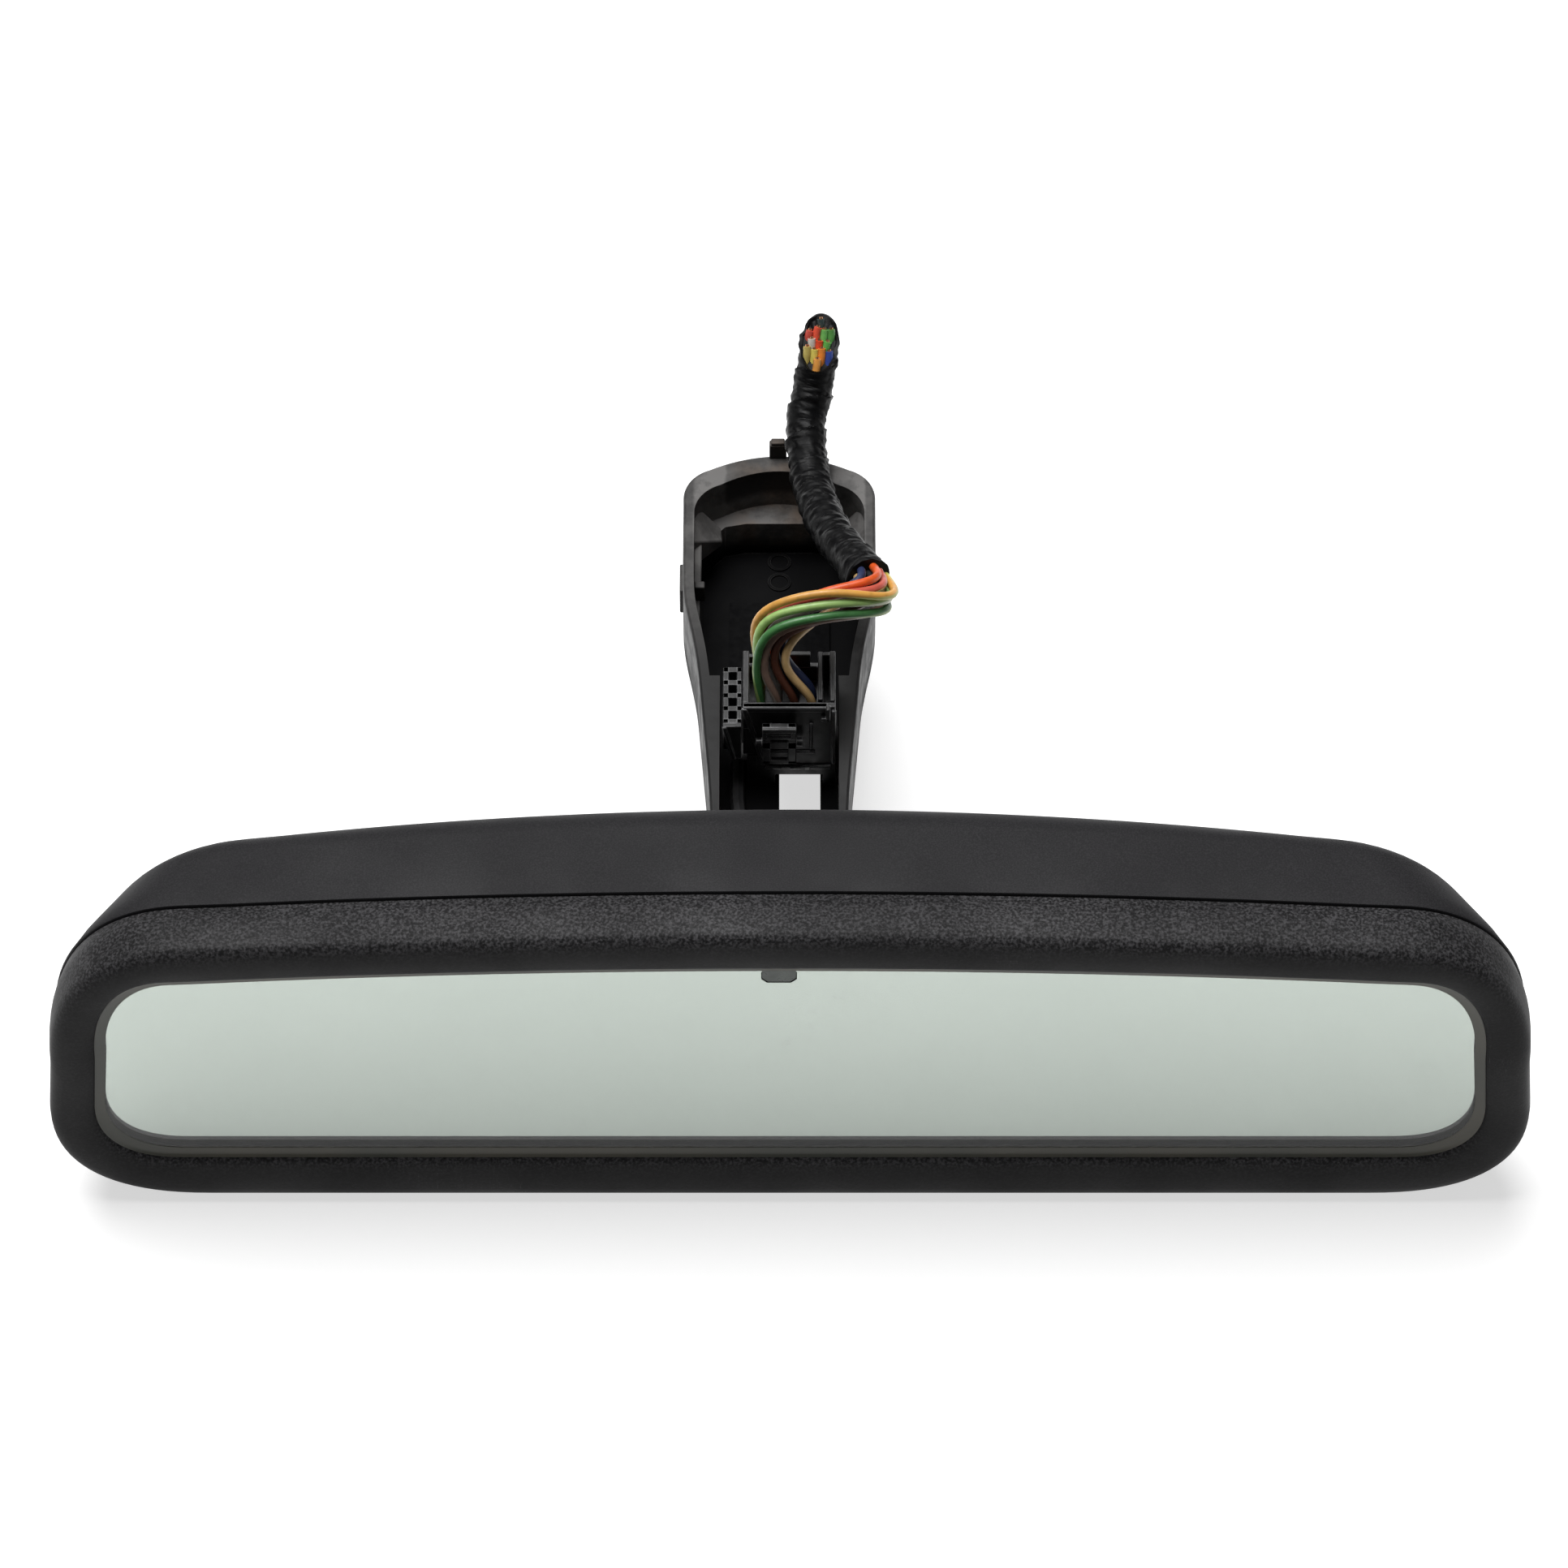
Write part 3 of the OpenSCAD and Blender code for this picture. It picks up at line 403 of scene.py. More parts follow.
slots = {row["node"]: row["material_slot"] for row in frame["record"]["subparts"]}
for name, look in materials.items():
    part = nodes[name]
    part.data.materials.clear()
    part.data.materials.append(look.mat)
    part.data.set_sharp_from_angle(angle=math.radians(35))


# ---------------------------------------------------------------- mesh tools

def piece(name, verts, faces, material, body, replaces=(), slot=None, sharp=35, uvs=None):
    """A mesh piece that rides on a CAD body and stands for the given CAD nodes."""
    mesh = bpy.data.meshes.new(name)
    mesh.from_pydata([tuple(v) for v in verts], [], [tuple(f) for f in faces])
    mesh.validate()
    if uvs is not None:
        layer = mesh.uv_layers.new(name="UVMap")
        for loop in mesh.loops:
            layer.data[loop.index].uv = uvs[loop.vertex_index]
    for entry in material if isinstance(material, list) else [material]:
        mesh.materials.append(entry)
    mesh.polygons.foreach_set("use_smooth", [True] * len(mesh.polygons))
    mesh.set_sharp_from_angle(angle=math.radians(sharp))
    made = bpy.data.objects.new(name, mesh)
    scene.collection.objects.link(made)
    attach(made, body)
    if replaces:
        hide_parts(*replaces)
    return made


def loft(rings, loop=False, cap="fan"):
    """Quads between rings of equal length; the ends are closed with a fan, one face or not at all."""
    n, m = len(rings[0]), len(rings)
    verts = [p for ring in rings for p in ring]
    faces = []
    for j in range(m if loop else m - 1):
        a, b = j * n, ((j + 1) % m) * n
        faces += [(a + i, a + (i + 1) % n, b + (i + 1) % n, b + i) for i in range(n)]
    if not loop and cap == "fan":
        for base, flip in ((0, True), ((m - 1) * n, False)):
            verts.append(sum((Vector(p) for p in rings[base // n]), Vector()) / n)
            centre = len(verts) - 1
            for i in range(n):
                tri = (base + i, base + (i + 1) % n, centre)
                faces.append(tri[::-1] if flip else tri)
    if not loop and cap == "face":
        faces.append(tuple(range(n))[::-1])
        faces.append(tuple(range((m - 1) * n, m * n)))
    return verts, faces


def block(x0, x1, y0, y1, z0, z1):
    """The eight corners and six faces of one block of a built-up moulding."""
    corners = [H(x, y, z) for z in (z0, z1) for y in (y0, y1) for x in (x0, x1)]
    return corners, [(0, 2, 3, 1), (4, 5, 7, 6), (0, 1, 5, 4), (2, 6, 7, 3), (0, 4, 6, 2), (1, 3, 7, 5)]


def prism(outline, y0, y1):
    """An outline in X and Z, drawn out along Y."""
    n = len(outline)
    verts = [H(x, y0, z) for x, z in outline] + [H(x, y1, z) for x, z in outline]
    faces = [tuple(range(n)), tuple(range(2 * n - 1, n - 1, -1))]
    faces += [(i, i + n, (i + 1) % n + n, (i + 1) % n) for i in range(n)]
    return verts, faces


def joined(*parts):
    """Several sets of vertices and faces as one."""
    verts, faces = [], []
    for part_verts, part_faces in parts:
        faces += [tuple(i + len(verts) for i in f) for f in part_faces]
        verts += part_verts
    return verts, faces


def bake(made):
    """Turns the modifiers on a piece into its mesh."""
    shape = bpy.data.meshes.new_from_object(made.evaluated_get(bpy.context.evaluated_depsgraph_get()))
    made.modifiers.clear()
    made.data = shape


def cut(made, *cutters):
    """Takes the cutters out of a piece."""
    for verts, faces in cutters:
        mesh = bpy.data.meshes.new("cutter")
        mesh.from_pydata([tuple(v) for v in verts], [], [tuple(f) for f in faces])
        tool = bpy.data.objects.new("cutter", mesh)
        scene.collection.objects.link(tool)
        modifier = made.modifiers.new("cut", "BOOLEAN")
        modifier.operation, modifier.solver, modifier.object = "DIFFERENCE", "EXACT", tool
        bake(made)
        bpy.data.objects.remove(tool)


def soften(made, mm, segments=2, angle=32):
    """Rounds a piece's edges with modifiers, which stay on it."""
    modifier = made.modifiers.new("soft_edges", "BEVEL")
    modifier.width, modifier.segments = mm / 1000, segments
    modifier.limit_method, modifier.angle_limit = "ANGLE", math.radians(angle)
    modifier.use_clamp_overlap = True
    weighted = made.modifiers.new("weighted", "WEIGHTED_NORMAL")
    weighted.keep_sharp = True


def spline(points, count):
    """Points spaced evenly along a smooth curve through the given points."""
    pts = [Vector(p) for p in points]
    pts = [pts[0] * 2 - pts[1]] + pts + [pts[-1] * 2 - pts[-2]]
    dense = []
    for i in range(1, len(pts) - 2):
        p0, p1, p2, p3 = pts[i - 1:i + 3]
        for step in range(24):
            t = step / 24
            dense.append(0.5 * (2 * p1 + (p2 - p0) * t + (2 * p0 - 5 * p1 + 4 * p2 - p3) * t * t
                                + (3 * p1 - p0 - 3 * p2 + p3) * t ** 3))
    dense.append(pts[-2])
    lengths = [0.0]
    for a, b in zip(dense, dense[1:]):
        lengths.append(lengths[-1] + (b - a).length)
    out, j = [], 0
    for k in range(count):
        want = lengths[-1] * k / (count - 1)
        while j < len(lengths) - 2 and lengths[j + 1] < want:
            j += 1
        span = lengths[j + 1] - lengths[j]
        out.append(dense[j].lerp(dense[j + 1], (want - lengths[j]) / span if span else 0))
    return out


def path_length(path):
    return sum((b - a).length for a, b in zip(path, path[1:]))


def frames(path):
    """A tangent and two cross directions at each point, carried along so that the tube doesn't twist."""
    out, side = [], Vector((0.3, 1, 0.2))
    for i in range(len(path)):
        t = (path[min(i + 1, len(path) - 1)] - path[max(i - 1, 0)]).normalized()
        side = (side - side.dot(t) * t).normalized()
        out.append((t, side, t.cross(side)))
    return out


def tube(path, radius, sides):
    """A tube along a path, with its texture's U round it and V along it in centimetres."""
    rings, uvs = [], []
    along = 0.0
    for i, (t, a, b) in enumerate(frames(path)):
        if i:
            along += (path[i] - path[i - 1]).length * 100
        ring = []
        for k in range(sides):
            turn = 2 * math.pi * (k / sides)
            ring.append(path[i] + radius * (a * math.cos(turn) + b * math.sin(turn)))
            uvs.append((k / sides, along))
        rings.append(ring)
    verts, faces = loft(rings)
    return verts, faces, uvs + [(0.5, 0.0), (0.5, along)]


# ---------------------------------------------------------------- head

HALF_W = (bezel_hi.x - bezel_lo.x) * 500
SHIFT = (bezel_hi.x + bezel_lo.x) * 500
TOP = (bezel_hi.z - bezel_lo.z) * 500
SEAM_Y = LIP_Y + (bezel_hi.y - bezel_lo.y) * 1000
BACK_Y = (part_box("rear_housing")[1].y - ORIGIN.y) * 1000
ARCH, SIDE_LIP, UPPER_LIP, LOWER_LIP, GLASS_Y, BOW = 3.8, 8.1, 8.7, 11.3, 5.2, 7.0
CORNER_W, UPPER_CORNER_H, LOWER_CORNER_H, SIDE_LEAN, END_TAPER = 28, 34, 23, 0.8, 0.1
GLASS_CORNER_W, GLASS_UPPER_H, GLASS_LOWER_H = 15, 21, 14
EDGE, BEND = 48, 20


def fuller(share):
    """A quarter turn of a corner that is a little fuller than an ellipse."""
    return max(0, share) ** 0.83


def outline(t, shrink=0.0):
    """The head's outline in X and Z, pulled in by lip fraction t and by shrink millimetres."""
    zt, zb = TOP - t * UPPER_LIP - shrink, -TOP + t * LOWER_LIP + shrink
    wide = max(8, CORNER_W + t * (GLASS_CORNER_W - CORNER_W) - shrink * 0.5)
    flat = HALF_W - t * SIDE_LIP - shrink - wide
    side = zt - ARCH - zb
    low_h = min(side * 0.4, LOWER_CORNER_H + t * (GLASS_LOWER_H - LOWER_CORNER_H) - shrink * 0.5)
    up_h = min(side * 0.55, UPPER_CORNER_H + t * (GLASS_UPPER_H - UPPER_CORNER_H) - shrink * 0.5)
    low, up = [], []
    for i in range(BEND + 1):
        q, p = math.pi / 2 * i / BEND, math.radians(86) * i / BEND
        low.append((flat + wide * fuller(math.sin(q)), zb + low_h - low_h * fuller(math.cos(q))))
        up.append((flat + (wide - SIDE_LEAN) * fuller(math.cos(p)),
                   zt - ARCH - up_h + up_h * fuller(math.sin(p))))
    points = [(-flat + 2 * flat * i / EDGE, zb) for i in range(EDGE)] + low + up
    points += [(flat - 2 * flat * i / EDGE, zt - ARCH * (1 - 2 * i / EDGE) ** 2) for i in range(1, EDGE)]
    points += [(-x, z) for x, z in up[::-1]] + [(-x, z) for x, z in low[:0:-1]]
    return [(x + SHIFT, z) for x, z in points]


def smooth_profile(points, per=5):
    dense = spline([Vector((a, b, 0)) for a, b in points], per * (len(points) - 1) + 1)
    return [(p.x, p.y) for p in dense]


def build_bezel():
    """The front moulding: a closed profile, from lip fraction and depth, taken round the outline."""
    soft = smooth_profile([(0.09, SEAM_Y - 0.35), (0.0, SEAM_Y - 3.3), (0.0, LIP_Y + 4.3),
                           (0.05, LIP_Y + 1.7), (0.22, LIP_Y + 0.4), (0.5, LIP_Y), (0.82, LIP_Y + 0.2),
                           (0.96, LIP_Y + 0.8), (1.0, LIP_Y + 1.4)])
    profile = [(0.2, SEAM_Y - 0.02), (0.125, SEAM_Y), (0.1, SEAM_Y - 0.1), *soft, (1.0, GLASS_Y - 0.06),
               (0.7, GLASS_Y - 0.06), (0.7, GLASS_Y + 4.5), (0.26, GLASS_Y + 4.5), (0.26, SEAM_Y - 0.02)]
    rings = [[H(x, y, z) for x, z in outline(t)] for t, y in profile]
    verts, faces = loft(rings, loop=True)
    piece("bezel_moulding", verts, [f[::-1] for f in faces], bezel_look.mat, "head", ["bezel"],
          "bezel_plastic", sharp=50)


def build_rear():
    """The rear shell: an outer and an inner skin, closed by strips, with bores for the ball and the lens."""
    y0 = SEAM_Y + 0.4

    def ring(shrink, share, thick=0.0, edge_y=None):
        pts = []
        narrow = 1 - END_TAPER * max(0, share) ** 1.3
        for x, z in outline(0.08, shrink):
            x = SHIFT + (x - SHIFT) * narrow
            full = BACK_Y - BOW * ((x - SHIFT) / HALF_W) ** 2 - thick
            y = y0 + (full - y0) * share if edge_y is None else edge_y
            pts.append(H(x, y, z))
        return pts

    n = len(outline(0))
    depth = BACK_Y - y0

    def shell(thick, start):
        """One skin: its first rings, then a rounded turn onto the back."""
        rings = list(start)
        radius = 8.0 - thick * 0.6
        for i in range(12, -1, -1):
            turn = math.radians(90 * i / 12)
            shrink = thick + radius * (1 - math.sin(turn))
            rings.append(ring(shrink, 1 - radius * (1 - math.cos(turn)) / (depth - thick), thick))
        return rings

    outer = shell(0.0, [ring(0.35, 0, edge_y=y0), ring(0.08, 0, edge_y=y0 + 0.16),
                        ring(0, 0, edge_y=y0 + 0.5), ring(0, 5 / depth)])
    inner = shell(2.2, [ring(2.4, 0, edge_y=y0), ring(2.3, 5 / depth)])
    rings = inner[::-1] + outer
    verts, faces = loft(rings, cap=None)
    ends = (0, (len(rings) - 1) * n)
    low = range(-BEND, EDGE + BEND + 1)
    high = [2 * EDGE + 3 * BEND + 1 - i for i in range(len(low))]
    for which, base in enumerate(ends):
        for k in range(len(low) - 1):
            a, b = low[k] % n, low[k + 1] % n
            c, d = high[k] % n, high[k + 1] % n
            quad = tuple(base + v for v in (a, b, d, c))
            if len(set(quad)) == 4:
                faces.append(quad if which else quad[::-1])
            elif len(set(quad)) == 3:
                tri = tuple(dict.fromkeys(quad))
                faces.append(tri if which else tri[::-1])
    made = piece("rear_shell", verts, faces, housing.mat, "head", ["rear_housing"], "housing_plastic",
                 sharp=40)

    def bore(x, z, r, y_lo, y_hi):
        rings = [[H(x + r * math.cos(2 * math.pi * k / 64), y, z + r * math.sin(2 * math.pi * k / 64))
                  for k in range(64)] for y in (y_lo, y_hi)]
        verts, faces = loft(rings, cap="face")
        return verts, [f[::-1] for f in faces]

    cut(made, bore(0, 0, 14.7, BACK_Y - 8, BACK_Y + 2), bore(-70, 8, 3.4, BACK_Y - 12, BACK_Y + 2))
    made.data.set_sharp_from_angle(angle=math.radians(40))


def build_cell_rim():
    """The moulded gasket between the lip and the glass: it shows below the glass and thinly beside it."""
    profile = smooth_profile([(0.0, LIP_Y + 1.15), (0.5, LIP_Y + 1.5), (1.2, GLASS_Y - 0.22),
                              (1.75, GLASS_Y - 0.06)], 4)
    profile += [(1.8, GLASS_Y - 0.01), (-0.3, GLASS_Y - 0.01)]
    rings = [[H(x, y, z) for x, z in outline(0.995, inward)] for inward, y in profile]
    verts, faces = loft(rings, loop=True)
    look = Look("cell_rim", (0.05, 0.052, 0.043), 0.32, spec=0.3)
    tone = look.ramp(look.noise(0.03, 2.0), 0.3, 0.7)
    look.color(look.mix(tone, (0.042, 0.044, 0.037), (0.062, 0.058, 0.046)))
    look.bump(look.noise(1.2, 2.0), 0.3, 0.03)
    piece("cell_rim", verts, [f[::-1] for f in faces], look.mat, "head", slot="seal", sharp=50)


build_bezel()
build_rear()
build_cell_rim()


# ---------------------------------------------------------------- arm and foot

ARM_TOP, ARM_BASE, ARM_START = 8, -12, 48
FOOT_END, FOOT_BULGE, FOOT_CORNER, RIM = 139.4, 2.9, 7.0, 4.0
LEDGE_Y, LEDGE_Z, FLOOR_Z, CAVITY_Y = 130.7, -1.0, -9.0, 86.8
CHANNEL_Y, CHANNEL_Z, WINDOW_END = 54, -6, 81
WIDTHS = [(48, 11.8), (64, 12.6), (82, 14.0), (90, 14.6), (98, 15.8), (104, 17.0), (108, 17.3), (140, 17.3)]


def arm_half(y):
    """Half the arm's width at y."""
    for (y0, w0), (y1, w1) in zip(WIDTHS, WIDTHS[1:]):
        if y <= y1:
            return w0 + (w1 - w0) * (y - y0) / (y1 - y0)
    return WIDTHS[-1][1]


def foot_plan(y0, inset, end=0.0):
    """Plan outline of the arm and foot, from y0 to the arched end."""
    r = FOOT_CORNER
    xc = WIDTHS[-1][1] - inset - r
    yc = FOOT_END - FOOT_BULGE - inset - end - r
    y_end = FOOT_END - inset - end
    count = 30
    side = [y0 + (yc - 1 - y0) * i / count for i in range(count + 1)]
    half = [(sum(arm_half(y + d) for d in (-3, -1.5, 0, 1.5, 3)) / 5 - inset, y) for y in side]
    half += [(xc + r * math.cos(math.radians(70 * i / 12)), yc + r * math.sin(math.radians(70 * i / 12)))
             for i in range(13)]
    x_arc = half[-1][0]
    drop = y_end - half[-1][1]
    half += [(x_arc * (1 - i / 10), y_end - drop * (1 - i / 10) ** 2) for i in range(1, 11)]
    return half + [(-x, y) for x, y in half[-2::-1]]


def plan_ring(y0, inset, z, end=0.0):
    return [H(x, y, z) for x, y in foot_plan(y0, inset, end)]


def build_foot():
    """The hollow arm and foot, with its recess, pit, channel and see-through window cut out."""
    levels = [(4, ARM_BASE), (2.6, -11.75), (1.4, -11.1), (0.6, -10), (0.15, -8.6), (0, -7), (0, 7.2),
              (0.12, 7.7), (0.5, ARM_TOP)]
    verts, faces = loft([plan_ring(ARM_START, inset, z) for inset, z in levels], cap="face")
    made = piece("foot_shell_moulding", verts, faces, arm_mat.mat, "arm", ["foot_shell"],
                 "arm_plastic", sharp=40)
    above = ARM_TOP + 1
    recess = loft([plan_ring(CAVITY_Y, 2.0, z, RIM - 2) for z in (LEDGE_Z, above)], cap="face")
    w = WIDTHS[-1][1] - 3
    right = [(11.5, CAVITY_Y), (w - 1.5, CAVITY_Y + 8), (w, CAVITY_Y + 14), (w, LEDGE_Y - 6),
             (w - 4.5, LEDGE_Y - 0.8), (6, LEDGE_Y)]
    left = [(-x, y) for x, y in right[::-1]]
    deep = left[-1:] + right + left[:-1]
    pit = loft([[H(x, y, z) for x, y in deep] for z in (FLOOR_Z, LEDGE_Z + 0.5)], cap="face")
    channel = block(-10.5, 10.5, CHANNEL_Y, CAVITY_Y + 2, CHANNEL_Z, above)
    window = block(0, 7.3, CHANNEL_Y, WINDOW_END, ARM_BASE - 1, CHANNEL_Z + 1)
    cut(made, recess, pit, channel, window)
    made.data.set_sharp_from_angle(angle=math.radians(35))
    soften(made, 0.35)


def foot_details():
    """Rails, corner wedges, end tab, side bump, and the two plain raised rings on the cavity's floor."""
    parts = []
    for side in (-1, 1):
        x0, x1 = sorted((side * 14.0, side * 15.4))
        parts.append(block(x0, x1, 113.5, 128, 0.6, 2.6))
        x0, x1 = sorted((side * 15.2, side * 13.4))
        parts.append(block(x0, x1, 112.2, 113.8, -1.4, 2.6))
        low = [H(side * x, y, -2) for x, y in ((15.6, 121), (10.3, 126.4), (10.6, 129.6), (15.6, 131))]
        top = [H(side * x, y, z) for x, y, z in ((15.6, 121, 5), (10.3, 126.4, -0.9), (10.6, 129.6, -0.9),
                                                 (15.6, 130, 5.6))]
        parts.append(loft([low, top] if side < 0 else [low[::-1], top[::-1]], cap="face"))
    parts.append(block(-1.8, 1.3, FOOT_END - 1, FOOT_END + 0.6, -6, 11.4))
    parts.append(block(-1.5, 1.0, FOOT_END - 0.9, FOOT_END + 0.5, 11.2, 12))
    parts.append(block(-17.9, -17.0, 111, 117.5, -3, 3))
    verts, faces = joined(*parts)
    made = piece("foot_details", verts, faces, arm_mat.mat, "arm", slot="arm_plastic")
    soften(made, 0.25)
    rings = []
    for y in (LEDGE_Y - 7.2, LEDGE_Y - 2.4):
        profile = [(2.15, FLOOR_Z - 0.1), (2.1, FLOOR_Z + 0.3), (1.6, FLOOR_Z + 0.3), (1.5, FLOOR_Z - 0.1)]
        rings.append(loft([[H(r * math.cos(2 * math.pi * k / 48), y + r * math.sin(2 * math.pi * k / 48), z)
                            for k in range(48)] for r, z in profile], loop=True))
    verts, faces = joined(*rings)
    piece("floor_rings", verts, faces, arm_mat.mat, "arm", slot="arm_plastic")


build_foot()
foot_details()


# ---------------------------------------------------------------- plug

PX, PY = 0.5, -0.8


def plug_block(x0, x1, y0, y1, z0, z1):
    return block(x0 + PX, x1 + PX, y0 + PY, y1 + PY, z0, z1)


def plug_prism(points, y0, y1):
    return prism([(x + PX, z) for x, z in points], y0 + PY, y1 + PY)


def build_plug():
    """The plug's body: its nose, its collar of thin walls, and the ribs on its front, with light dashes on
    one rib as a painted highlight.
    """
    x0, x1, y0, y1, z0, z1 = -6.9, 9.4, 74.0, 86.0, 2.4, 16.6
    parts = [
        plug_block(x0, x1, y0, y1, z0, 9.6),
        plug_block(x0, x0 + 1.1, y0, y1, 9.4, z1),
        plug_block(x1 - 3.1, x1 - 2.2, y0 + 0.8, y1, 9.4, z1 - 0.2),
        plug_block(x1 - 1.0, x1, y0, y1 - 0.4, 9.4, z1 + 0.4),
        plug_block(x1 - 2.4, x1 - 0.8, y1 - 1.2, y1 - 0.3, 9.4, z1),
        plug_block(x0, x1 - 2.4, y1 - 1.1, y1, 9.4, z1 - 3.2),
        plug_block(x0 + 4.2, x1 - 4.4, y1 - 1.1, y1 - 0.1, z1 - 3.4, z1),
        plug_block(x0 + 0.6, x0 + 3.2, y1 - 1.0, y1 - 0.2, z1 - 2.4, z1 - 0.6),
        plug_prism([(x0, z1), (x1 - 1.4, z1), (x1 - 1.4, z1 - 1.2), (x0, z1 - 1.2)], y0 - 1.5, y0 - 0.1),
        plug_prism([(x0, z1), (x1, z1), (x1, z0 - 1.4), (x0 + 3.6, z0 - 1.4), (x0 + 0.4, z1 - 2)],
                   y0 - 1.2, y0 + 0.01),
        plug_prism([(x0 - 0.3, z1 - 0.2), (x0 + 0.7, z1 - 0.2), (x0 + 4.0, z0 - 0.9), (x0 + 3.2, z0 - 1.2)],
                   y0 - 1.7, y0 - 1.1),
        plug_block(x1 - 0.7, x1 + 0.1, y0 - 1.8, y0 - 1.1, z0 - 0.6, z1 - 0.6),
        plug_block(x1 - 1.7, x1 - 0.9, y0 - 2.1, y0 - 0.9, z1 - 3.0, z1 + 0.2),
        plug_block(x1 - 2.6, x1 - 0.9, y0 - 2.1, y0 - 1.2, z1 - 3.0, z1 - 2.2),
        plug_block(x0 + 3.8, x1 - 0.8, y0 - 1.7, y0 - 1.0, z0 - 2.2, z0 - 1.4),
        plug_block(x0 + 3.6, x1 - 3.6, y0 - 1.55, y0 - 1.1, 4.3, 4.9),
        plug_block(x0 + 4.6, x0 + 5.2, y0 - 1.6, y0 - 1.1, 5.6, 12.4),
        plug_block(x1 - 4.6, x1 - 4.0, y0 - 1.6, y0 - 1.1, 5.6, 12.4),
        plug_block(-4.7, 7.9, 75.4, 84.2, -1.5, z0 + 0.05),
    ]
    verts, faces = joined(*parts)
    made = piece("plug_moulding", verts, faces, black_nylon.mat, "plug", ["plug_housing"], "plug_plastic")
    soften(made, 0.2)
    # Painted highlight: light grey dashes laid along the front rib.
    dashes = joined(*[plug_block(x, x + w, y0 - 1.9, y0 - 1.5, z0 - 2.0, z0 - 1.6)
                      for x, w in ((-1.6, 1.6), (1.4, 1.8), (4.0, 0.9))])
    look = plain("rib_highlight_nylon", (0.30, 0.30, 0.30), 0.3)
    made = piece("plug_rib_highlights", *dashes, look.mat, "plug", slot="plug_plastic")
    soften(made, 0.08)


def build_slider():
    """The ladder-shaped locking slider on the plug's left side."""
    x0, x1, top = -10.4, -7.1, 12.6
    slots_y = [(73.6, 75.4), (76.6, 78.4), (79.6, 81.4), (82.6, 84.4)]
    bars = [72.6, *[y for pair in slots_y for y in pair], 85.6]
    parts = [plug_block(x0, x0 + 1.0, 72.6, 85.6, 5.4, top), plug_block(x1 - 0.9, x1, 72.6, 85.6, 9.8, top),
             plug_block(x0, x1, 72.6, 85.6, 5.4, 7.8)]
    parts += [plug_block(x0, x1, a, b, 7.6, top) for a, b in zip(bars[::2], bars[1::2])]
    parts.append(plug_prism([(x0, top), (x1, top), (x1, 4), (x0 + 1.6, 4), (x0, top - 4)], 71.7, 72.65))
    parts.append(plug_prism([(x0 - 0.15, top), (x0 + 0.6, top), (x0 + 2.3, 4.1), (x0 + 1.5, 4.1)],
                            71.3, 71.8))
    made = piece("slider_moulding", *joined(*parts), black_nylon.mat, "plug", ["plug_slider"], "plug_plastic")
    soften(made, 0.15)


def build_latch():
    """The latch lever on the plug's front, with its pin."""
    x, y, z = -0.5, 71.6, 8.6
    parts = [plug_block(x - 3, x - 1.5, y - 0.9, y + 0.1, z - 5, z + 5),
             plug_block(x + 1.5, x + 3, y - 0.9, y + 0.1, z - 5, z + 5),
             plug_block(x - 3, x + 3, y - 0.95, y + 0.1, z + 1.6, z + 5),
             plug_block(x - 3, x + 3, y - 0.9, y + 0.1, z - 5, z - 4.1),
             plug_block(x - 3, x + 3, y - 0.9, y + 0.7, z - 0.9, z + 0.9),
             plug_block(x - 3, x + 3, y - 1.5, y - 0.8, z + 4, z + 5),
             plug_block(x - 2.2, x + 2.2, y - 1.25, y - 0.8, z + 2.2, z + 2.7),
             plug_block(x - 2.2, x + 2.2, y - 1.25, y - 0.8, z + 3.1, z + 3.5)]
    pin = loft([[H(px + PX, y + PY + 0.8 * math.cos(math.pi * k / 12), z + 0.8 * math.sin(math.pi * k / 12))
                 for k in range(24)] for px in (x - 4.2, x + 4.2)], cap="face")
    made = piece("latch_lever", *joined(*parts, pin), black_nylon.mat, "plug_latch", ["plug_latch"],
                 "plug_plastic")
    soften(made, 0.15)


build_plug()
build_slider()
build_latch()


# ---------------------------------------------------------------- wires

stations = [(1.3, 79.2, 10), (-1.6, 80.6, 19), (-0.8, 82.6, 25.6), (7.0, 85.0, 28.6), (17.2, 89.4, 27.6),
            (15.8, 96.4, 24.2)]
across_u = [(3, 0, 0), (1.8, 0, 0.3), (1.5, 0, -1.4), (0, 0, -2.5), (0, -0.6, -2.1), (0, -0.8, -1.5)]
across_v = [(0, 2.6, 0), (0, 1.9, -0.3), (-0.4, 1.8, 0), (-0.6, 1.8, 0), (-1.6, 1.6, 0), (-1.6, -0.2, 0.1)]
LAY = [0, 0, 12, 50, 100, 130]
WIRE_RADIUS = 0.00075


def wire_path(column, row):
    """One wire's way from the plug over the loop into the tape, in a bundle twisted by LAY degrees."""
    pts = []
    for s, (mid, u, v) in enumerate(zip(stations, across_u, across_v)):
        wander = 0.0 if s in (0, 5) else 0.3
        c, d = math.cos(math.radians(LAY[s])), math.sin(math.radians(LAY[s]))
        col, line = column * c - row * d, column * d + row * c
        pts.append(H(*(Vector(mid) + (col + random.uniform(-wander, wander)) * Vector(u)
                       + (line + random.uniform(-wander, wander)) * Vector(v))))
    pts.insert(1, pts[0] + Vector((0, 0, 0.0035)))
    dense = spline(pts, 120)
    for _ in range(60):
        dense[4:-1] = [(dense[i - 1] + dense[i] * 2 + dense[i + 1]) / 4 for i in range(4, len(dense) - 1)]
    return spline(dense, 40)


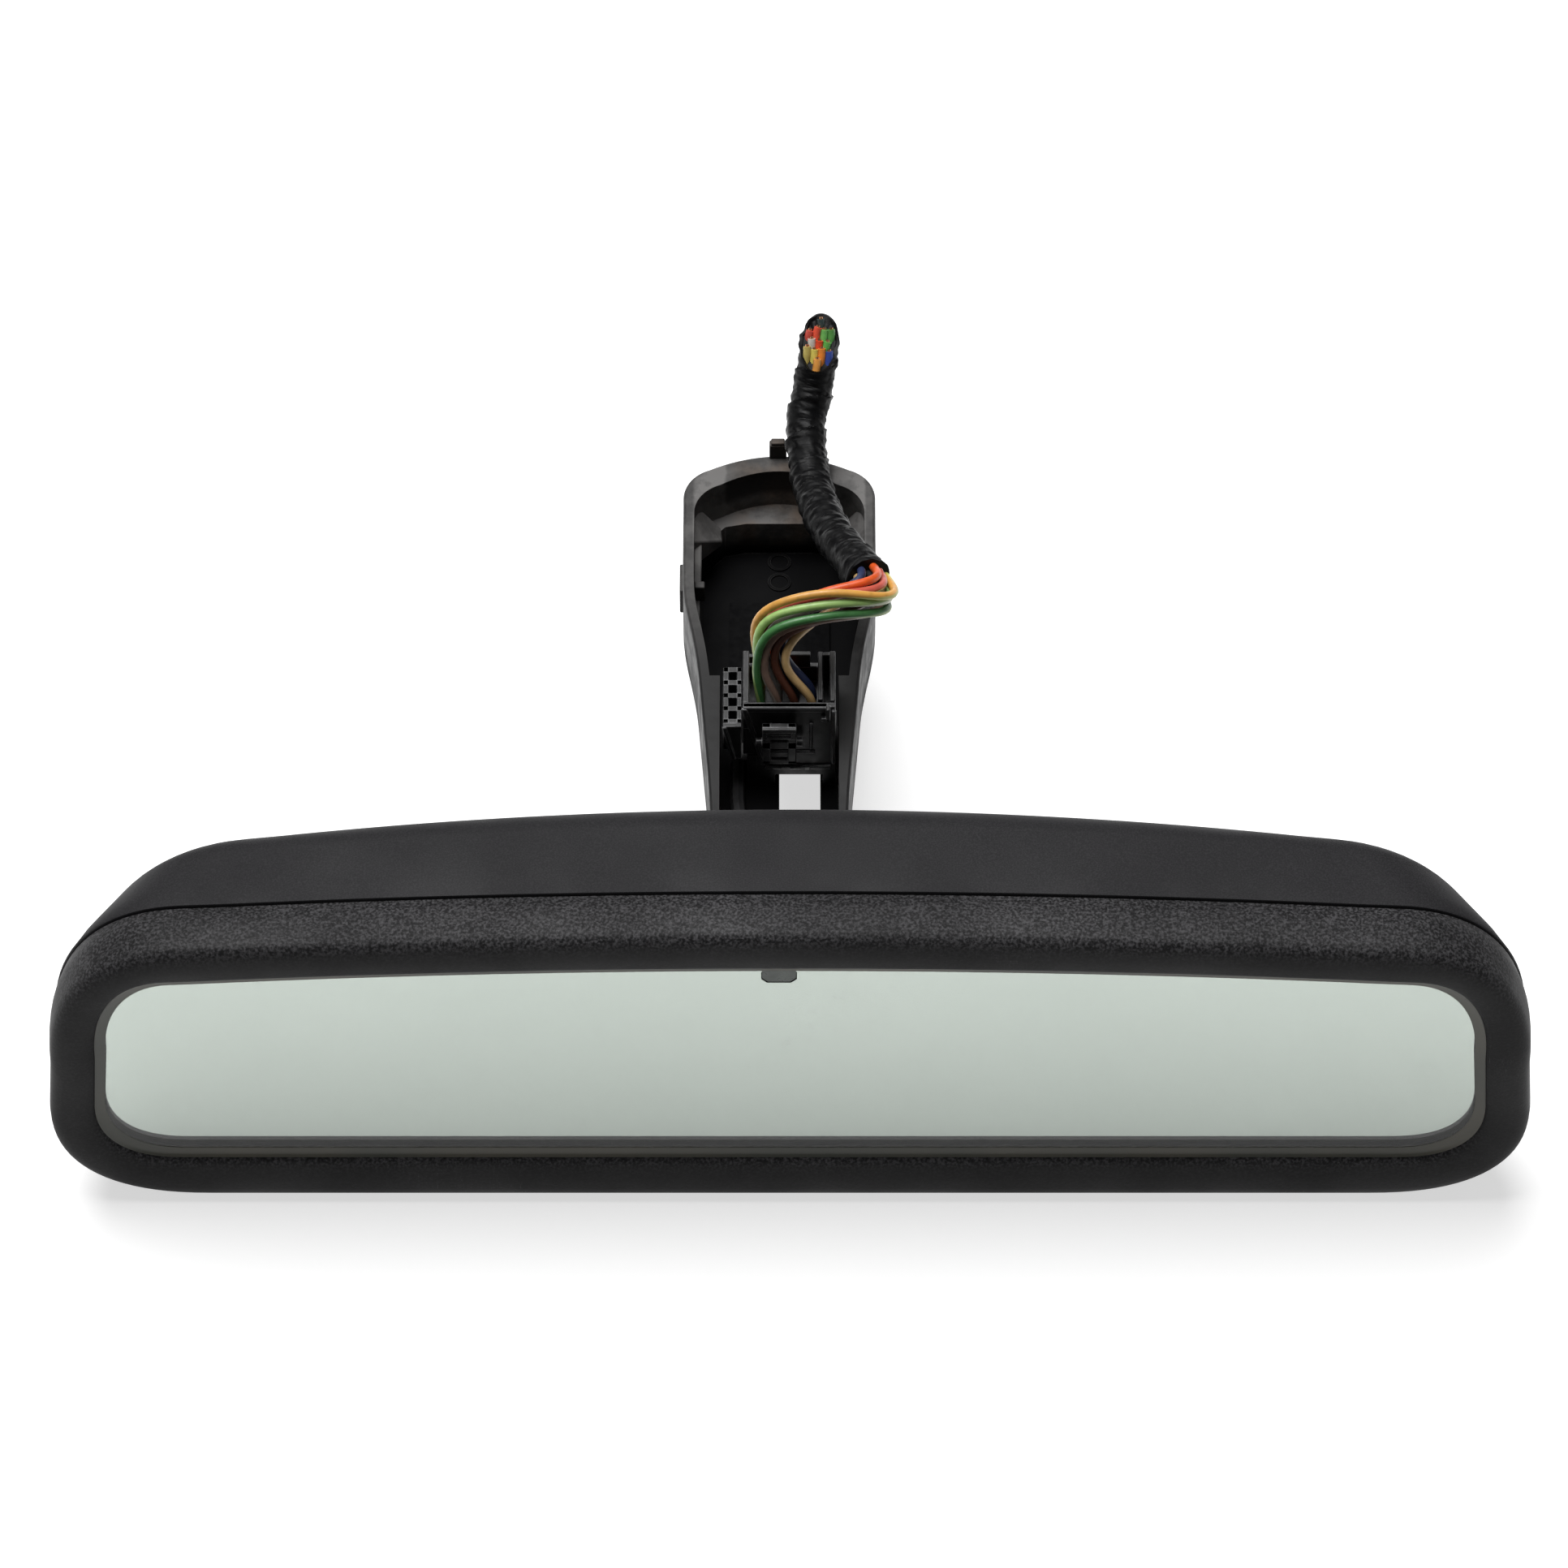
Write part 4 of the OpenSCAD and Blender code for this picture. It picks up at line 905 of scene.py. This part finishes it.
# Each wire's covering and the stripe along it.
WIRES = [
    ("wire_1", (0.05, 0.17, 0.05), (0.25, 0.36, 0.12)),
    ("wire_2", (0.20, 0.13, 0.10), (0.34, 0.30, 0.26)),
    ("wire_3", (0.085, 0.028, 0.016), None),
    ("wire_4", (0.52, 0.34, 0.15), None),
    ("wire_5", (0.32, 0.50, 0.16), (0.55, 0.60, 0.42)),
    ("wire_6", (0.44, 0.42, 0.39), (0.10, 0.10, 0.10)),
    ("wire_7", (0.018, 0.018, 0.02), (0.30, 0.30, 0.30)),
    ("wire_8", (0.025, 0.035, 0.09), (0.30, 0.30, 0.32)),
    ("wire_9", (0.60, 0.30, 0.06), (0.50, 0.48, 0.10)),
    ("wire_10", (0.50, 0.09, 0.06), (0.70, 0.50, 0.42)),
    ("wire_11", (0.66, 0.09, 0.015), (0.75, 0.28, 0.10)),
]
for k, (name, color, stripe) in enumerate(WIRES):
    path = wire_path(k % 4 - 1.5, k // 4 - 1)
    verts, faces, uvs = tube(path, WIRE_RADIUS, 14)
    slot = slots[name]
    made = piece(name + "_strand", verts, faces, insulation(slot, color, stripe), "plug", [name], slot,
                 uvs=uvs)


# ---------------------------------------------------------------- taped loom

loom_points = [(15.6, 95.2, 24.4), (13.0, 101.5, 22.5), (9.6, 110.3, 19), (7.5, 118, 16.6), (5.9, 126, 14.9),
               (5.0, 132.7, 15.5), (4.9, 138.8, 17.5), (6.0, 143.8, 20.6), (6.9, 147.6, 25), (7.7, 152, 31)]
loom_path = spline([H(*p) for p in loom_points], 300)
loom_length = path_length(loom_path)
loom_frames = frames(loom_path)
SLANT = 9.5 / 1000


def on_loom(s):
    """A point on the loom's middle line, s metres along it, with its tangent and two cross directions."""
    f = min(max(s / loom_length, 0), 1) * (len(loom_path) - 1)
    i = min(int(f), len(loom_path) - 2)
    t, a, b = (p.lerp(q, f - i) for p, q in zip(loom_frames[i], loom_frames[i + 1]))
    return loom_path[i].lerp(loom_path[i + 1], f - i) + t * max(0, s - loom_length), t, a, b


def cut_at(toward):
    """How far along the loom the slanting cut lies, by how much a point leans toward the viewer."""
    return loom_length - SLANT * (0.5 + 0.5 * toward)


end_t, end_a, end_b = loom_frames[-1]
toward_eye = (back - back.dot(end_t) * end_t).normalized()


def tape_radius(s, turn, ring):
    """Overlapping wraps with a raised edge, wrinkles and a thicker first wrap; s is in millimetres."""
    wraps = s / 6.5 - turn
    wraps += 0.12 * noise.noise(Vector((s * 0.09, turn * 3, 1.7)))
    ridge = 0.34 * (wraps % 1) ** 3
    around = Vector((math.cos(2 * math.pi * turn), math.sin(2 * math.pi * turn), 0))
    wrinkle = 0.26 * noise.noise(Vector((s * 0.85, turn * 2.5, 3))) \
        + 0.16 * noise.noise(around * 2.4 + Vector((s * 0.5, 0, 9)))
    crease = 0.22 * abs(noise.noise(around * 1.7 + Vector((0, s * 1.3, ring * 0.02))))
    bulk = 0.5 * math.exp(-(s / 5) ** 2)
    return (3.52 + ridge + wrinkle - crease + bulk) / 1000


def build_loom():
    """The taped tube, its last part drawn back on the viewer's side so that it ends in a slanting cut."""
    count, sides, steady = 300, 72, loom_length - 1.5 * SLANT
    rings, uvs = [], []
    for i in range(count + 2):
        ring = []
        inside = i - count + 1 if i >= count else 0
        for k in range(sides):
            turn = k / sides
            angle = 2 * math.pi * turn
            lean = (end_a * math.cos(angle) + end_b * math.sin(angle)).dot(toward_eye)
            s = loom_length * min(i, count - 1) / (count - 1)
            if s > steady:
                s = steady + (s - steady) * (cut_at(lean) - steady) / (loom_length - steady)
            s -= 0.0007 * max(0, inside - 1)
            p, t, a, b = on_loom(s)
            r = tape_radius(s * 1000, turn, i) * (1, 0.84, 0.8)[inside]
            ring.append(p + r * (a * math.cos(angle) + b * math.sin(angle)))
            uvs.append((turn, s * 100))
        rings.append(ring)
    verts, faces = loft(rings)
    uvs += [(0.5, 0.0), (0.5, loom_length * 100)]
    return piece("taped_loom", verts, faces, tape_mat.mat, "plug", ["harness_tape"], "tape", sharp=28,
                 uvs=uvs)


def cut_end():
    """The wires' cut ends along the slanting cut: coloured covering and a bright core in each."""
    side = end_t.cross(toward_eye)
    colors = [(0.62, 0.06, 0.02), (0.10, 0.38, 0.07), (0.72, 0.22, 0.03), (0.60, 0.50, 0.10),
              (0.55, 0.52, 0.48), (0.62, 0.08, 0.04), (0.14, 0.42, 0.10), (0.03, 0.06, 0.28),
              (0.70, 0.30, 0.06), (0.45, 0.36, 0.10), (0.50, 0.07, 0.05), (0.03, 0.05, 0.05),
              (0.08, 0.26, 0.06)]
    spots = [(0, 0)] + [(far * math.cos(math.pi * k / 3 + start), far * math.sin(math.pi * k / 3 + start))
                        for far, start in ((1.35, 0), (2.35, 0.5)) for k in range(6)]
    mats = [insulation(f"cut_wire_{k}", c) for k, c in enumerate(colors)]
    core = metal("cut_copper", (0.75, 0.42, 0.24), 0.3).mat
    verts, faces, owner = [], [], []
    for k, (u, v) in enumerate(spots):
        end = cut_at(v / 3.5) + random.uniform(0.0003, 0.0011)
        path = []
        for step in range(8):
            s = end - 0.006 * (1 - step / 7)
            p, t, a, b = on_loom(s)
            across = (toward_eye - toward_eye.dot(t) * t).normalized()
            path.append(p + (t.cross(across) * u + across * v) / 1000)
        path[-1] += side * random.uniform(-0.0002, 0.0002)
        for radius, extra in ((0.00074, 0.0), (0.00036, 0.0004)):
            line = path[:-1] + [path[-1] + end_t * extra]
            tv, tf, _ = tube(line, radius, 12)
            owner += [k if radius > 0.0005 else len(mats)] * len(tf)
            faces += [tuple(i + len(verts) for i in f) for f in tf]
            verts += tv
    made = piece("cut_wire_stubs", verts, faces, [*mats, core], "plug", ["cut_wire_ends"], "cut_copper")
    for polygon, index in zip(made.data.polygons, owner):
        polygon.material_index = index
    return made


loom = build_loom()
stubs = cut_end()


# ---------------------------------------------------------------- floor and light

floor_z = rest_bounds[0].z - 0.0006
floor_mesh = bpy.data.meshes.new("floor")
reach = 9
floor_mesh.from_pydata([(x, y, floor_z) for x, y in ((-reach, -reach), (reach, -reach), (reach, reach),
                                                     (-reach, reach))], [], [(0, 1, 2, 3)])
floor = bpy.data.objects.new("floor", floor_mesh)
scene.collection.objects.link(floor)
floor_look = Look("floor", (0.6, 0.6, 0.6), 0.9, spec=0.1)
floor_look.set("Emission Color", (1, 1, 1, 1))
floor_look.set("Emission Strength", 0.62)
floor_mesh.materials.append(floor_look.mat)

world = bpy.data.worlds.new("studio")
scene.world = world
world.use_nodes = True
world.node_tree.nodes["Background"].inputs[0].default_value = (1, 1, 1, 1)
world.node_tree.nodes["Background"].inputs[1].default_value = 0.1


def area(name, place, aim, size, watts):
    """A round area light at a place, turned to its aim."""
    data = bpy.data.lights.new(name, "AREA")
    data.shape, data.size, data.energy = "DISK", size, watts
    lamp = bpy.data.objects.new(name, data)
    scene.collection.objects.link(lamp)
    lamp.location = place
    lamp.rotation_mode = "QUATERNION"
    lamp.rotation_quaternion = (aim - place).to_track_quat("-Z", "Y")


area("top_light", H(-300, 500, 1700), H(0, 60, 0), 1.6, 52)
